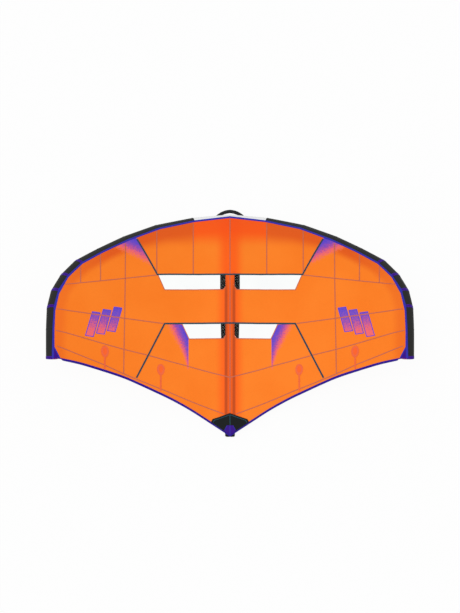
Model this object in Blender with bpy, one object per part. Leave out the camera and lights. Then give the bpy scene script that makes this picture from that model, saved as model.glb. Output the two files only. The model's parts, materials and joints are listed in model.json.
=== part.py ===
"""A hand-held inflatable wing for foil boards: tube leading edge, centre strut, sewn canopy.

Units are metres. +X runs along the span, +Y points forward past the leading edge, +Z is up.
The origin lies on the ground under the middle of the wing. The wing lies on its tubes.
Side +1 is the right half of the wing and side -1 the left half.
"""

import math

import bmesh
import bpy
from mathutils import Matrix, Vector

for old_object in list(bpy.data.objects):
    bpy.data.objects.remove(old_object, do_unlink=True)

# Driving dimensions of the whole wing.
tip_half_spacing = 1.416       # from the middle of the wing to the tube's axis at a wing tip
tube_sweep = 1.318             # how far the tube's tip end lies behind its middle
canopy_length = 1.824          # from the tube's axis to the trailing edge, in the middle
tube_radius = 0.115            # leading-edge tube, in the middle
tip_clearance = 0.392          # how far the tips stand off the ground
strut_front_radius = 0.080
strut_tail_radius = 0.039
cloth = 0.0010                 # canopy cloth, drawn thicker than life so that it is a sound solid
sleeve_wall = 0.0012           # woven casing of the tubes
sleeve_gap = 0.0005            # between two sleeves, measured along the tube
bladder_wall = 0.0008          # air-tight liner inside a casing
tape_wall = 0.0008             # reinforcement tape
fit = 0.0003                   # clearance between two pieces that lie on each other
nose_handle_height = 0.055     # from the tube's skin to the middle of the nose handle
nose_grip_radius = 0.0135

# Counts of faces.
tube_sides = 20
bladder_sides = 10
sleeve_corner = 1 / math.cos(math.pi / tube_sides)

# The leading-edge tube is sewn from straight, slightly conical lengths. Each row is a seam:
# its share of the half spacing, of the sweep and of the middle radius, then how far in front of
# the tube's top the canopy is sewn on, in degrees.
tube_seam_shares = (
    (0.0000, 0.0000, 1.000, 27),
    (0.2105, 0.0189, 0.974, 20),
    (0.4130, 0.0874, 0.913, 14),
    (0.5895, 0.1862, 0.843, 8),
    (0.7318, 0.2874, 0.783, 6),
    (0.8495, 0.3799, 0.730, 2),
    (0.9215, 0.4732, 0.670, 2),
    (0.9700, 0.5714, 0.609, 2),
    (0.9935, 0.6738, 0.539, -2),
    (0.9995, 0.8109, 0.478, -8),
    (1.0000, 1.0000, 0.417, -14),
)
last_seam = len(tube_seam_shares) - 1
level_share = tube_seam_shares[1][0]   # the tube lies level up to its first seam, and then rises
dihedral_power = 1.2
end_slant = 0.47               # the tube's ends are cut on a slant, lower side foremost

# Trailing edge: its share of the half spacing, then of the way from the depth of the tips to the
# depth of the middle.
trailing_edge_shares = (
    (0.0000, 1.0000),
    (0.0265, 0.9445),
    (0.1175, 0.7733),
    (0.2233, 0.5858),
    (0.3290, 0.4328),
    (0.4412, 0.3036),
    (0.5285, 0.2119),
    (0.5981, 0.1476),
    (0.7338, 0.0668),
    (0.8443, 0.0180),
    (0.9500, 0.0000),
)
tip_overhang = 0.012           # how far the trailing edge's ends lie behind the tube's ends
# Where the rib that leaves each tube seam meets the trailing edge, as a share of the half spacing.
rib_end_shares = (0.0, 0.2105, 0.413, 0.590, 0.728, 0.812, 0.858, 0.893, 0.918, 0.938, 0.950)
trailing_rise = 0.420
trailing_rise_power = 1.5
rib_front_share = 0.30         # length of the front handle of a rib's curve, of its chord
rib_rear_share = 0.32
rib_exit_drop = 0.105          # slope of a rib's last stretch below its chord

seam_lift = fit + tape_wall + fit      # the canopy lies over the tube's seam bands
strut_seat_share = 0.45        # half width of the strut's seat on the canopy, of its radius
strut_crown = math.sqrt(1 - strut_seat_share ** 2)
tail_top = strut_tail_radius * (1 + strut_crown)
# The nose handle stands on the facet below the tube's foremost edge.
nose_tilt = math.pi / tube_sides
nose_axis_reach = (tube_radius * math.cos(nose_tilt) + nose_handle_height) * math.cos(nose_tilt)
nose_handle_reach = nose_axis_reach + nose_grip_radius
tail_overhang = 0.0076         # how far the strut's tail cap ends behind the canopy
tube_axis_y = (canopy_length + tail_overhang - nose_handle_reach) / 2
up = Vector((0, 0, 1))


def material(name, colour, roughness, metallic=0.0):
    made = bpy.data.materials.new(name)
    made.use_nodes = True
    shader = made.node_tree.nodes["Principled BSDF"]
    shader.inputs["Base Color"].default_value = (*colour, 1)
    shader.inputs["Roughness"].default_value = roughness
    shader.inputs["Metallic"].default_value = metallic
    return made


orange_cloth = material("orange_cloth", (1.0, 0.22, 0.02), 0.6)
white_sleeve_cloth = material("white_sleeve_cloth", (0.85, 0.86, 0.87), 0.6)
black_sleeve_cloth = material("black_sleeve_cloth", (0.03, 0.03, 0.028), 0.7)
purple_tape = material("purple_tape", (0.07, 0.01, 0.37), 0.55)
orange_patch = material("orange_patch", (0.8, 0.12, 0.01), 0.6)
blue_tape = material("blue_tape", (0.03, 0.03, 0.45), 0.55)
navy_tape = material("navy_tape", (0.01, 0.04, 0.1), 0.55)
black_webbing = material("black_webbing", (0.01, 0.01, 0.015), 0.8)
grip_foam = material("grip_foam", (0.02, 0.02, 0.022), 0.85)
black_plastic = material("black_plastic", (0.02, 0.02, 0.02), 0.4)
grey_plastic = material("grey_plastic", (0.35, 0.35, 0.36), 0.4)
clear_film = material("clear_film", (0.9, 0.95, 0.97), 0.1)
bladder_film = material("bladder_film", (0.8, 0.82, 0.8), 0.3)


def object_of(name, mesh, finish, smooth=True):
    """Links a mesh as the object of one piece and shades it."""
    mesh.materials.clear()
    mesh.materials.append(finish)
    if smooth:
        mesh.shade_smooth()
        mesh.set_sharp_from_angle(angle=math.radians(32))
    made = bpy.data.objects.new(name, mesh)
    bpy.context.scene.collection.objects.link(made)
    return made


def mesh_of(name, points, faces):
    mesh = bpy.data.meshes.new(name)
    mesh.from_pydata([tuple(point) for point in points], [], faces)
    mesh.update()
    return mesh


def loft(name, rings, finish, capped=True, smooth=True):
    """A surface through rings of equally many points, closed at both ends if capped."""
    count = len(rings[0])
    points = [point for ring in rings for point in ring]
    faces = []
    for row in range(len(rings) - 1):
        for column in range(count):
            after = (column + 1) % count
            first = row * count
            second = first + count
            faces.append((first + column, first + after, second + after, second + column))
    if capped:
        faces.append(tuple(reversed(range(count))))
        faces.append(tuple(range(len(points) - count, len(points))))
    mesh = mesh_of(name, points, faces)
    face_outwards(mesh)
    return object_of(name, mesh, finish, smooth)


def face_outwards(mesh):
    """Turns a surface so that its faces look away from its middle line."""
    shape = bmesh.new()
    shape.from_mesh(mesh)
    bmesh.ops.recalc_face_normals(shape, faces=shape.faces)
    shape.to_mesh(mesh)
    shape.free()


def thicken(piece, thickness, outward):
    wall = piece.modifiers.new("wall", "SOLIDIFY")
    wall.thickness = thickness
    wall.offset = 1 if outward else -1
    wall.use_even_offset = True
    return piece


def hold(piece, held):
    """Parents one object to another where it stands. Both stand where their own matrix says."""
    held.parent = piece
    held.matrix_parent_inverse = piece.matrix_basis.inverted()


def turn_on(piece, frame):
    """Puts a moving piece's origin on its joint, so that it turns or slides about its frame."""
    piece.data.transform(frame.inverted())
    piece.matrix_basis = frame
    return piece


def cut(piece, cutter, operation="DIFFERENCE"):
    cutter.hide_render = True
    cutter.display_type = "WIRE"
    hold(piece, cutter)
    knife = piece.modifiers.new("cut", "BOOLEAN")
    knife.operation = operation
    knife.object = cutter
    return piece


def prism(name, outline, low, high):
    """An upright block over an outline of (x, y) points."""
    shape = bmesh.new()
    floor = shape.faces.new([shape.verts.new((x, y, low)) for x, y in outline])
    top = bmesh.ops.extrude_face_region(shape, geom=[floor])
    raised = [item for item in top["geom"] if isinstance(item, bmesh.types.BMVert)]
    bmesh.ops.translate(shape, verts=raised, vec=(0, 0, high - low))
    bmesh.ops.recalc_face_normals(shape, faces=shape.faces)
    mesh = bpy.data.meshes.new(name)
    shape.to_mesh(mesh)
    shape.free()
    return object_of(name, mesh, black_plastic, smooth=False)


def cylinder(name, radius, start, end, frame, finish, sides=24):
    """A round bar between two heights on a frame's third axis."""
    shape = bmesh.new()
    bmesh.ops.create_cone(
        shape, cap_ends=True, segments=sides, radius1=radius, radius2=radius, depth=end - start,
        matrix=Matrix.Translation((0, 0, (start + end) / 2)),
    )
    mesh = bpy.data.meshes.new(name)
    shape.to_mesh(mesh)
    shape.free()
    mesh.transform(frame)
    return object_of(name, mesh, finish)


def turned(name, profile, frame, finish, sides=24):
    """A closed profile of (radius, height) points turned about a frame's third axis."""
    rings = []
    for radius, height in profile:
        ring = []
        for step in range(sides):
            angle = math.tau * step / sides
            ring.append(frame @ Vector((radius * math.cos(angle), radius * math.sin(angle), height)))
        rings.append(ring)
    rings.append(rings[0])
    made = loft(name, rings, finish, capped=False)
    welded(made)
    return made


def welded(piece):
    shape = bmesh.new()
    shape.from_mesh(piece.data)
    bmesh.ops.remove_doubles(shape, verts=shape.verts, dist=fit / 100)
    bmesh.ops.recalc_face_normals(shape, faces=shape.faces)
    shape.to_mesh(piece.data)
    shape.free()


def extruded(name, outline, width, frame, finish, smooth=False):
    """A flat outline of (along, out) points given a width about a frame's middle plane."""
    rings = []
    for side in (-1, 1):
        rings.append([frame @ Vector((along, side * width / 2, out)) for along, out in outline])
    return loft(name, rings, finish, smooth=smooth)


def join_to(piece, others):
    """Unites other closed shapes with a piece and leaves one closed body."""
    for other in others:
        cut(piece, other, "UNION")
    return piece


# The leading-edge tube.

def tube_seam(index):
    x_share, y_share, radius_share, turn = tube_seam_shares[index]
    radius = radius_share * tube_radius
    rise_share = max(0, (x_share - level_share) / (1 - level_share)) ** dihedral_power
    place = Vector((
        x_share * tip_half_spacing,
        tube_axis_y - y_share * tube_sweep,
        radius + tip_clearance * rise_share,
    ))
    return place, radius, math.radians(turn)


def seam_axes(index, slant=0.0):
    """The directions along the tube, forward and up across it, in the mitre plane of a seam."""
    here = tube_seam(index)[0]
    along = Vector((0, 0, 0))
    if index == 0:
        along = Vector((1, 0, 0))
    else:
        along += (here - tube_seam(index - 1)[0]).normalized()
        if index < last_seam:
            along += (tube_seam(index + 1)[0] - here).normalized()
    along.normalize()
    along = (along - up * slant).normalized()
    forward = up.cross(along).normalized()
    return along, forward, along.cross(forward) * math.hypot(1, slant)


square_frames = [seam_axes(index) for index in range(last_seam + 1)]
seam_frames = [*square_frames[:-1], seam_axes(last_seam, end_slant)]


def radial(index, angle, frames=seam_frames):
    forward, upward = frames[index][1:]
    return upward * math.cos(angle) + forward * math.sin(angle)


def mirrored(point, side):
    return Vector((side * point.x, point.y, point.z))


def at_station(station, value):
    """A value given at each seam, read between two seams. The station's sign is the wing's side."""
    place = min(abs(station), last_seam)
    low = min(int(place), last_seam - 1)
    return mirrored(value(low).lerp(value(low + 1), place - low), 1 if station >= 0 else -1)


def tube_point(station, angle, lift=0.0):
    def at_seam(index):
        place, radius = tube_seam(index)[:2]
        return place + radial(index, angle) * (radius + lift)
    return at_station(station, at_seam)


def tube_ring(station, lift=0.0, sides=tube_sides):
    step = math.tau / sides
    return [tube_point(station, step * side, lift) for side in range(sides)]


def station_at(index, distance):
    """The station that lies a distance along the tube from a seam."""
    after = index + (1 if distance > 0 else -1)
    length = (tube_seam(after)[0] - tube_seam(index)[0]).length
    return index + distance / length


def frame_of(origin, along, out):
    """A frame at a point: X along a direction, Z out of a surface, Y across."""
    across = out.cross(along).normalized()
    turn = Matrix((across.cross(out), across, out)).transposed().to_4x4()
    return Matrix.Translation(origin) @ turn


def sideways(frame):
    """The same frame a quarter turn round, with its X across the surface."""
    return frame @ Matrix.Rotation(math.radians(90), 4, "Z")


def tube_frame(station, facet):
    """A frame on a facet of the tube: X along the tube, Z out of it."""
    step = math.tau / tube_sides
    near_share = 0.1

    def facet_middle(place):
        return sum((tube_point(place, step * corner) for corner in (facet, facet + 1)), Vector()) / 2

    along = (facet_middle(station + near_share) - facet_middle(station - near_share)).normalized()
    edge = tube_point(station, step * (facet + 1)) - tube_point(station, step * facet)
    out = along.cross(edge).normalized()
    if out.dot(facet_middle(station) - tube_axis_point(station)) < 0:
        out = -out
    return frame_of(facet_middle(station), along, out)


def tube_axis_point(station):
    return at_station(station, lambda index: tube_seam(index)[0])


# The canopy's surface.

def trailing_edge(x):
    """The trailing edge's point at a distance from the middle of the wing."""
    share = x / tip_half_spacing
    rows = trailing_edge_shares
    for (x0, y0), (x1, y1) in zip(rows, rows[1:]):
        if share <= x1 or x1 == rows[-1][0]:
            between = (share - x0) / (x1 - x0)
            back = y0 + (y1 - y0) * between
            break
    tip_depth = tube_sweep + tip_overhang
    depth = tip_depth + (canopy_length - tip_depth) * back
    rise = trailing_rise * share ** trailing_rise_power
    return Vector((x, tube_axis_y - depth, tail_top + fit + rise))


def rib_ends(station):
    place = min(abs(station), last_seam)
    low = min(int(place), last_seam - 1)
    between = place - low

    def seam_end(index):
        radius, turn = tube_seam(index)[1:]
        return tube_seam(index)[0] + radial(index, turn) * (radius + seam_lift)

    def seam_out(index):
        return radial(index, tube_seam(index)[2], square_frames)

    front = seam_end(low).lerp(seam_end(low + 1), between)
    out = seam_out(low).lerp(seam_out(low + 1), between)
    share = rib_end_shares[low] + (rib_end_shares[low + 1] - rib_end_shares[low]) * between
    return front, out.normalized(), trailing_edge(share * tip_half_spacing)


def rib_directions(station):
    """A rib's first and last point, the directions along it there, and out of the tube."""
    front, out, back = rib_ends(station)
    chord = back - front
    leave = (chord - out * chord.dot(out)).normalized()
    arrive = (chord.normalized() - up * rib_exit_drop).normalized()
    return front, out, leave, back, arrive


def canopy_point(station, share):
    """A point of the canopy's under side: a station along the tube and a share of the chord."""
    front, out, leave, back, arrive = rib_directions(station)
    length = (back - front).length
    first = front + leave * length * rib_front_share
    second = back - arrive * length * rib_rear_share
    rest = 1 - share
    point = (front * rest ** 3 + first * 3 * rest ** 2 * share
             + second * 3 * rest * share ** 2 + back * share ** 3)
    return mirrored(point, 1 if station >= 0 else -1)


def chord_length(station):
    front, out, back = rib_ends(station)
    return (back - front).length


tip_column_share = 0.3
tip_row_share = 0.95


def canopy_normal(station, share):
    """The surface's unit normal. It is read a little inside the tip's corner, which is pointed."""
    step = 0.01
    edge = last_seam - tip_column_share
    middle = max(-edge, min(edge, station))
    inside = min(share, tip_row_share) if abs(station) > edge else share
    along = canopy_point(middle + step, inside) - canopy_point(middle - step, inside)
    back = canopy_point(middle, min(inside + step, 1)) - canopy_point(middle, max(inside - step, 0))
    return back.cross(along).normalized()


def lifted(station, share, lift):
    return canopy_point(station, share) + canopy_normal(station, share) * lift


def under_side(station, share, drop):
    return canopy_point(station, share) - up * drop


# The canopy is sewn from three panels a side. Each row of a seam's table is a station along the
# tube, counted in tube seams, and the share of the chord where the seam crosses that rib.
front_seam_shares = (
    (0, 0.329), (1, 0.336), (2, 0.329), (3, 0.311), (4, 0.276), (5, 0.228), (6, 0.135), (6.8, 0),
)
rear_seam_shares = (
    (0, 0.538), (1, 0.575), (2, 0.603), (3, 0.592), (4, 0.566),
    (5, 0.510), (6, 0.420), (7, 0.300), (8, 0.140), (8.5, 0),
)
# The first column of cloth stands over the edge of the strut's seat.
seat_station_length = tube_seam_shares[1][0] * tip_half_spacing
seat_station = strut_front_radius * strut_seat_share / seat_station_length
half_stations = (0, seat_station, *(step / 2 for step in range(1, 2 * last_seam + 1)))
panel_rows = {"nose": 6, "middle": 4, "tail": 6}


def seam_share(rows, station):
    place = abs(station)
    for (s0, v0), (s1, v1) in zip(rows, rows[1:]):
        if place <= s1:
            return v0 + (v1 - v0) * (place - s0) / (s1 - s0)
    return 0


def panel_share(panel, station, part):
    """The share of the chord at a part, 0 to 1, of a panel's own depth."""
    half_gap = fit / 2 / chord_length(station)
    front = seam_share(front_seam_shares, station)
    rear = seam_share(rear_seam_shares, station)
    low, high = {"nose": (0, front), "middle": (front, rear), "tail": (rear, 1)}[panel]
    low += half_gap if low else 0
    high -= half_gap if panel != "tail" else 0
    return low + (high - low) * part


def skin(name, panel, stations, finish, lift=0.0, wall=cloth, first_row=0, last_row=None):
    """A curved sheet of the canopy between two seams, over a run of stations."""
    rows = panel_rows[panel]
    last = rows if last_row is None else last_row
    points = []
    for station in stations:
        for row in range(first_row, last + 1):
            share = panel_share(panel, station, row / rows)
            points.append(lifted(station, share, lift))
    depth = last - first_row + 1
    faces = []
    for column in range(len(stations) - 1):
        for row in range(depth - 1):
            first = column * depth + row
            corners = [first, first + 1, first + depth + 1, first + depth]
            if stations[column] < 0:
                corners = corners[1:] + corners[:1]
            faces += [(corners[0], corners[1], corners[2]), (corners[0], corners[2], corners[3])]
    return thicken(object_of(name, mesh_of(name, points, faces), finish), wall, outward=True)


def columns(first, last, side):
    """The canopy's columns from one station to another on one side, in rising order."""
    chosen = [side * place for place in half_stations if first < place < last]
    return sorted([side * first, *chosen, side * last])


def plan(station, share):
    point = canopy_point(station, share)
    return point.x, point.y


def ribbon_outline(points, width):
    """The outline of a ribbon of even width about a line of flat points."""
    left, right = [], []
    for index, (a, b) in enumerate(points):
        before = Vector(points[max(index - 1, 0)])
        after = Vector(points[min(index + 1, len(points) - 1)])
        here = Vector((a, b))
        runs = [run.normalized() for run in (here - before, after - here) if run.length > 0]
        sides = [Vector((-run.y, run.x)) for run in runs]
        across = sum(sides, Vector((0, 0))).normalized()
        across *= width / 2 / across.dot(sides[0])
        left.append(tuple(here + across))
        right.append(tuple(here - across))
    return left + right[::-1]


sky = 1.0                      # cutters reach from the ground to this height
side_names = {1: "right", -1: "left"}

# Clear windows beside the strut, cut from the panels.
window_inner = strut_front_radius * strut_seat_share + fit
front_window_top = 0.582
front_window_bottom = 0.527
front_window_depth = 0.121
rear_window_top = 0.384
rear_window_bottom = 0.330
rear_window_depth = 0.108
tape_width = 0.012
window_overrun = 0.030


def window_outline(rows, top, bottom, depth, setback, side, grow):
    """A window's corners in plan. Its front edge lies a setback behind a seam."""
    def seam_y(x):
        station = x / seat_station_length
        return plan(station, seam_share(rows, station))[1]
    front = [seam_y(x) - setback + grow for x in (window_inner, top)]
    back = [seam_y(window_inner) - depth - grow, seam_y(top) - depth - grow]
    corners = [(window_inner - grow, front[0]), (top + grow, front[1]),
               (bottom + grow, back[1]), (window_inner - grow, back[0])]
    return [(side * x, y) for x, y in corners]


def panel_and_window(panel, window, stations, outline_of, side):
    """A panel with its window's hole, and the window's film that fills it."""
    whole = skin(f"canopy_{panel}_panel_{side_names[side]}", panel, stations, orange_cloth)
    hole = prism(f"{window}_hole_{side}", outline_of(fit), 0, sky)
    cut(whole, hole)
    film = skin(f"{window}_{side_names[side]}", panel, stations, clear_film)
    cut(film, prism(f"{window}_edge_{side}", outline_of(0), 0, sky), "INTERSECT")


centre_gap_station = fit / 2 / seat_station_length
panel_end_share = 0.05         # the front panels stop a little before their seam meets the tube
for side in (1, -1):
    skin(f"canopy_nose_panel_{side_names[side]}", "nose",
         columns(centre_gap_station, front_seam_shares[-1][0] - panel_end_share, side), orange_cloth)

    def front_window(grow, side=side):
        return window_outline(front_seam_shares, front_window_top, front_window_bottom,
                              front_window_depth, -window_overrun, side, grow)

    def rear_window(grow, side=side):
        return window_outline(rear_seam_shares, rear_window_top, rear_window_bottom,
                              rear_window_depth, tape_width + fit, side, grow)

    panel_and_window("middle", "front_window",
                     columns(centre_gap_station, rear_seam_shares[-1][0] - panel_end_share, side),
                     front_window, side)
    panel_and_window("tail", "rear_window", columns(centre_gap_station, last_seam, side),
                     rear_window, side)

# Tapes and patches sewn on the canopy's upper side.
trim_lift = cloth + fit
tape_front_share = 2.73
tape_corner_share = 2.07
tape_rear_share = 2.66
tape_rear_corner_share = 1.84


def seam_line(rows, stations, ahead):
    line = []
    for station in stations:
        x, y = plan(station, seam_share(rows, station))
        line.append((x, y + ahead))
    return line


def both_sides(stations):
    return [*(-station for station in reversed(stations) if station), *stations]


def sewn_on(name, panel, stations, outline, finish, wall=tape_wall, lift=trim_lift, rows=(0, None)):
    piece = skin(name, panel, stations, finish, lift, wall, *rows)
    cut(piece, prism(f"{name}_shape", outline, 0, sky), "INTERSECT")
    return piece


run_stations = both_sides((0, 1, tape_corner_share))
front_run = seam_line(front_seam_shares, run_stations, tape_width / 2 + fit)
front_end = plan(tape_front_share, 0.025)
front_line = [(-front_end[0], front_end[1]), *front_run, front_end]
sewn_on("load_tape_front", "nose", both_sides([s for s in half_stations if s <= 3]),
        ribbon_outline(front_line, tape_width), navy_tape)

run_stations = both_sides((0, 1, tape_rear_corner_share))
rear_run = seam_line(rear_seam_shares, run_stations, -tape_width / 2 - fit)
rear_end = plan(tape_rear_share, 0.985)
rear_line = [(-rear_end[0], rear_end[1]), *rear_run, rear_end]
sewn_on("load_tape_rear", "tail", both_sides([s for s in half_stations if s <= 3]),
        ribbon_outline(rear_line, tape_width), navy_tape)

# Short battens that end in an egg-shaped pad hold the trailing edge flat.
batten_wall = 0.0020
batten_stem = 0.012
pad_width = 0.062
pad_length = 0.094
pad_points = 14
pad_arc = 200                  # degrees of the pad's round front


def batten_outline(x, pad_front, stem_end):
    """A pad, round in front and narrow behind, and the stem that leaves it for the edge."""
    ahead = []
    for step in range(pad_points):
        angle = math.radians(pad_arc) * (step / (pad_points - 1) - 0.5)
        wide = math.sin(angle) * pad_width / 2
        ahead.append((x + wide, pad_front - pad_length / 2 * (1 - math.cos(angle))))
    narrow = [(x + batten_stem / 2, pad_front - pad_length), (x + batten_stem / 2, stem_end)]
    return ahead + narrow + [(2 * x - a, b) for a, b in reversed(narrow)]


for name, station, pad_share, first, last in (
    ("inner", 1.895, 0.822, 1, 3), ("outer", 3.85, 0.795, 3, 5),
):
    for side in (1, -1):
        x, pad_front = plan(side * station, pad_share)
        stem_end = plan(side * station, 0.985)[1]
        sewn_on(f"batten_{name}_{side_names[side]}", "tail", columns(first, last, side),
                batten_outline(x, pad_front, stem_end), orange_patch, batten_wall, rows=(2, None))

# Patches: a shield at the strut's tail and a corner patch at each wing tip.
shield_front = 0.183
shield_side = 0.137
shield_low_side = 0.115
shield_half_width = 0.139
shield_hem_half_width = 0.158
patch_overrun = 0.050
trailing_point_y = tube_axis_y - canopy_length
shield = [
    (0, trailing_point_y + shield_front),
    (shield_half_width, trailing_point_y + shield_side),
    (shield_hem_half_width, trailing_point_y + shield_low_side),
    (shield_hem_half_width, trailing_point_y - patch_overrun),
]
shield += [(-x, y) for x, y in reversed(shield[1:])]
sewn_on("tail_shield", "tail", both_sides([s for s in half_stations if s <= 1]),
        shield, black_sleeve_cloth, rows=(2, None))

tip_patch_length = 0.118
tip_patch_width = 0.060
tip_patch_rise = 0.005         # the patch's inner corner stands this far up from the edge
for side in (1, -1):
    corner_x = side * rib_end_shares[-1] * tip_half_spacing
    corner_y = trailing_edge(abs(corner_x)).y
    outer_x = corner_x + side * (tip_patch_width + patch_overrun)
    corner = [
        (corner_x, corner_y - patch_overrun),
        (corner_x, corner_y + tip_patch_rise),
        (corner_x + side * tip_patch_width, corner_y + tip_patch_length),
        (outer_x, corner_y + tip_patch_length),
        (outer_x, corner_y - patch_overrun),
    ]
    sewn_on(f"tip_patch_{side_names[side]}", "tail", columns(9, last_seam, side), corner,
            purple_tape, lift=trim_lift + 2 * fit)

# A ribbon covers the seam between tube and canopy, and a folded hem binds the trailing edge.
piping_width = 0.016
hem_width = 0.006
hem_height = 0.0022
piping_end_share = 9.5
hem_end_share = 9.90


def edge_ribbon(name, ring_at, last, finish):
    """A ribbon from tip to tip whose cross section at a station is given by ring_at."""
    stations = both_sides([station for station in half_stations if station < last] + [last])
    rings = []
    for station in stations:
        side = 1 if station >= 0 else -1
        rings.append([mirrored(point, side) for point in ring_at(abs(station))])
    return loft(name, rings, finish, smooth=False)


def piping_ring(station):
    front, out, leave = rib_directions(station)[:3]
    half = leave * piping_width / 2
    low = out * trim_lift
    high = out * (trim_lift + tape_wall)
    return [front + low - half, front + low + half, front + high + half, front + high - half]


def hem_ring(station):
    back, arrive = rib_directions(station)[3:]
    along = trailing_edge(back.x + fit) - trailing_edge(max(back.x - fit, 0))
    out = arrive.cross(along).normalized()
    near = arrive * fit
    far = arrive * (fit + hem_width)
    high = out * hem_height
    return [back + near, back + far, back + far + high, back + near + high]


edge_ribbon("canopy_piping", piping_ring, piping_end_share, blue_tape)
edge_ribbon("trailing_hem", hem_ring, hem_end_share, purple_tape)

# Casings of the leading-edge tube, and the tapes over its outer seams.
band_width = 0.019


def sleeve(name, stations, finish):
    """An open length of casing through the tube's cross sections."""
    rings = [tube_ring(station) for station in stations]
    return thicken(loft(name, rings, finish, capped=False), sleeve_wall, outward=False)


def sleeve_stations(first, last, side):
    ends = (station_at(first, sleeve_gap / 2), station_at(last, -sleeve_gap / 2))
    return sorted(side * place for place in (ends[0], *range(first + 1, last), ends[1]))


centre_end = station_at(1, -sleeve_gap / 2)
centre_sleeve = sleeve("centre_sleeve", (-centre_end, 0, centre_end), white_sleeve_cloth)
for side in (1, -1):
    for name, first, last in (("inner", 1, 5), ("shoulder", 5, 7), ("tip", 7, last_seam)):
        sleeve(f"{name}_sleeve_{side_names[side]}", sleeve_stations(first, last, side),
               black_sleeve_cloth)
    for number, index in enumerate((5, 6, 7, 8), start=1):
        rings = [tube_ring(side * station, fit * sleeve_corner)
                 for station in (station_at(index, -band_width / 2), index,
                                 station_at(index, band_width / 2))]
        thicken(loft(f"seam_band_{number}_{side_names[side]}", rings, purple_tape, capped=False),
                tape_wall, outward=True)

# Sewn caps close the ends of the tube.
cap_skirt = 0.022


def tip_cap(side):
    """A skirt round the tube's last stretch, closed by a flat end."""
    along = mirrored(seam_frames[last_seam][0], side)
    skirt = tube_ring(side * station_at(last_seam, -cap_skirt), fit * sleeve_corner)
    rim = [point + along * fit for point in tube_ring(side * last_seam, fit * sleeve_corner)]
    end = loft(f"tip_cap_{side_names[side]}", (skirt, rim), purple_tape, capped=False)
    shape = bmesh.new()
    shape.from_mesh(end.data)
    shape.verts.ensure_lookup_table()
    flat_end = shape.faces.new(shape.verts[tube_sides:])
    bmesh.ops.recalc_face_normals(shape, faces=shape.faces)
    if flat_end.normal.dot(along) < 0:
        bmesh.ops.reverse_faces(shape, faces=shape.faces)
    shape.to_mesh(end.data)
    shape.free()
    thicken(end, tape_wall, outward=True)


for side in (1, -1):
    tip_cap(side)

# The bladder inside the leading edge runs from tip to tip in one piece.
bladder_end = 0.012
inset = -(sleeve_wall + 2 * fit) * sleeve_corner
end_station = station_at(last_seam, -bladder_end)
bladder_stations = [-end_station, *range(-last_seam + 1, last_seam), end_station]
tube_bladder = loft("tube_bladder",
                    [tube_ring(s, inset, bladder_sides) for s in bladder_stations], bladder_film)
thicken(tube_bladder, bladder_wall, outward=False)

# The strut hangs under the middle of the canopy, on a flat seat.
strut_taper_share = 0.36
strut_taper_power = 1.6
strut_arcs = 18
strut_seat_gap = 0.0005
strut_slant = 0.47             # the strut's end leans forward below, by this much of its height
strut_slant_start = 0.86


def strut_radius(share):
    taper = max(0.0, (share - strut_taper_share) / (1 - strut_taper_share)) ** strut_taper_power
    return strut_front_radius + (strut_tail_radius - strut_front_radius) * taper


def strut_ring(panel, part, inset=0.0, arcs=strut_arcs):
    """A cross section of the strut: three points of its seat and the round below them."""
    middle_share = panel_share(panel, 0, part)
    radius = strut_radius(middle_share)
    station = radius * strut_seat_share / seat_station_length
    drop = strut_seat_gap + inset
    seat = [under_side(side * station, panel_share(panel, station, part), drop)
            for side in (-1, 0, 1)]
    inner_radius = radius - inset
    edge = math.asin(strut_seat_share)
    centre_z = seat[2].z - radius * strut_crown + inset * strut_crown
    lean = strut_slant * max(0.0, middle_share - strut_slant_start) / (1 - strut_slant_start)
    ring = [seat[1], seat[2]]
    for step in range(1, arcs):
        angle = edge + (math.tau - 2 * edge) * step / arcs
        z = centre_z + inner_radius * math.cos(angle)
        y = seat[1].y + lean * max(0.0, seat[1].z - z)
        ring.append(Vector((inner_radius * math.sin(angle), y, z)))
    return [*ring, seat[0]]


strut_places = [("nose", row / panel_rows["nose"]) for row in range(1, panel_rows["nose"] + 1)]
for panel in ("middle", "tail"):
    strut_places += [(panel, row / panel_rows[panel]) for row in range(1, panel_rows[panel] + 1)]
strut_rings = [strut_ring(*place) for place in strut_places]
strut_sleeve = loft("strut_sleeve", strut_rings, black_sleeve_cloth, capped=False)
thicken(strut_sleeve, sleeve_wall, outward=False)
saddle = loft("saddle_cutter", [tube_ring(s, fit) for s in (-1, 0, 1)], white_sleeve_cloth)
cut(strut_sleeve, saddle)

strut_bladder = loft("strut_bladder",
                     [strut_ring(*place, sleeve_wall + 3 * fit, strut_arcs // 2)
                      for place in strut_places[2:-1]],
                     bladder_film)
thicken(strut_bladder, bladder_wall, outward=False)

tail_cap_depth = 0.016
tail_steps = ((fit / tail_cap_depth, 1.0), (0.45, 0.92), (0.8, 0.72), (1.0, 0.45))
last_ring = strut_rings[-1]
last_middle = sum(last_ring, Vector()) / len(last_ring)
cap_rings = []
for reach_share, size_share in tail_steps:
    back = Vector((0, -tail_cap_depth * reach_share, 0))
    cap_rings.append([last_middle + (point - last_middle) * size_share + back
                      for point in last_ring])
loft("strut_tail_cap", cap_rings, black_webbing)


def strut_frame(row, between, facet):
    """A frame on a facet of the strut: X along it towards the tail, Z out of it."""
    corners = []
    for corner in (facet + 1, facet + 2):
        corners.append((strut_rings[row][corner], strut_rings[row + 1][corner]))
    along = sum((rear - front for front, rear in corners), Vector()).normalized()
    edge = corners[1][0] - corners[0][0]
    out = along.cross(edge).normalized()
    middle = sum((front.lerp(rear, between) for front, rear in corners), Vector()) / 2
    axis = sum(strut_rings[row], Vector()) / len(strut_rings[row])
    if out.dot(middle - axis) < 0:
        out = -out
    return frame_of(middle, along, out)


bottom_corner = 1 + strut_arcs // 2


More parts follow.
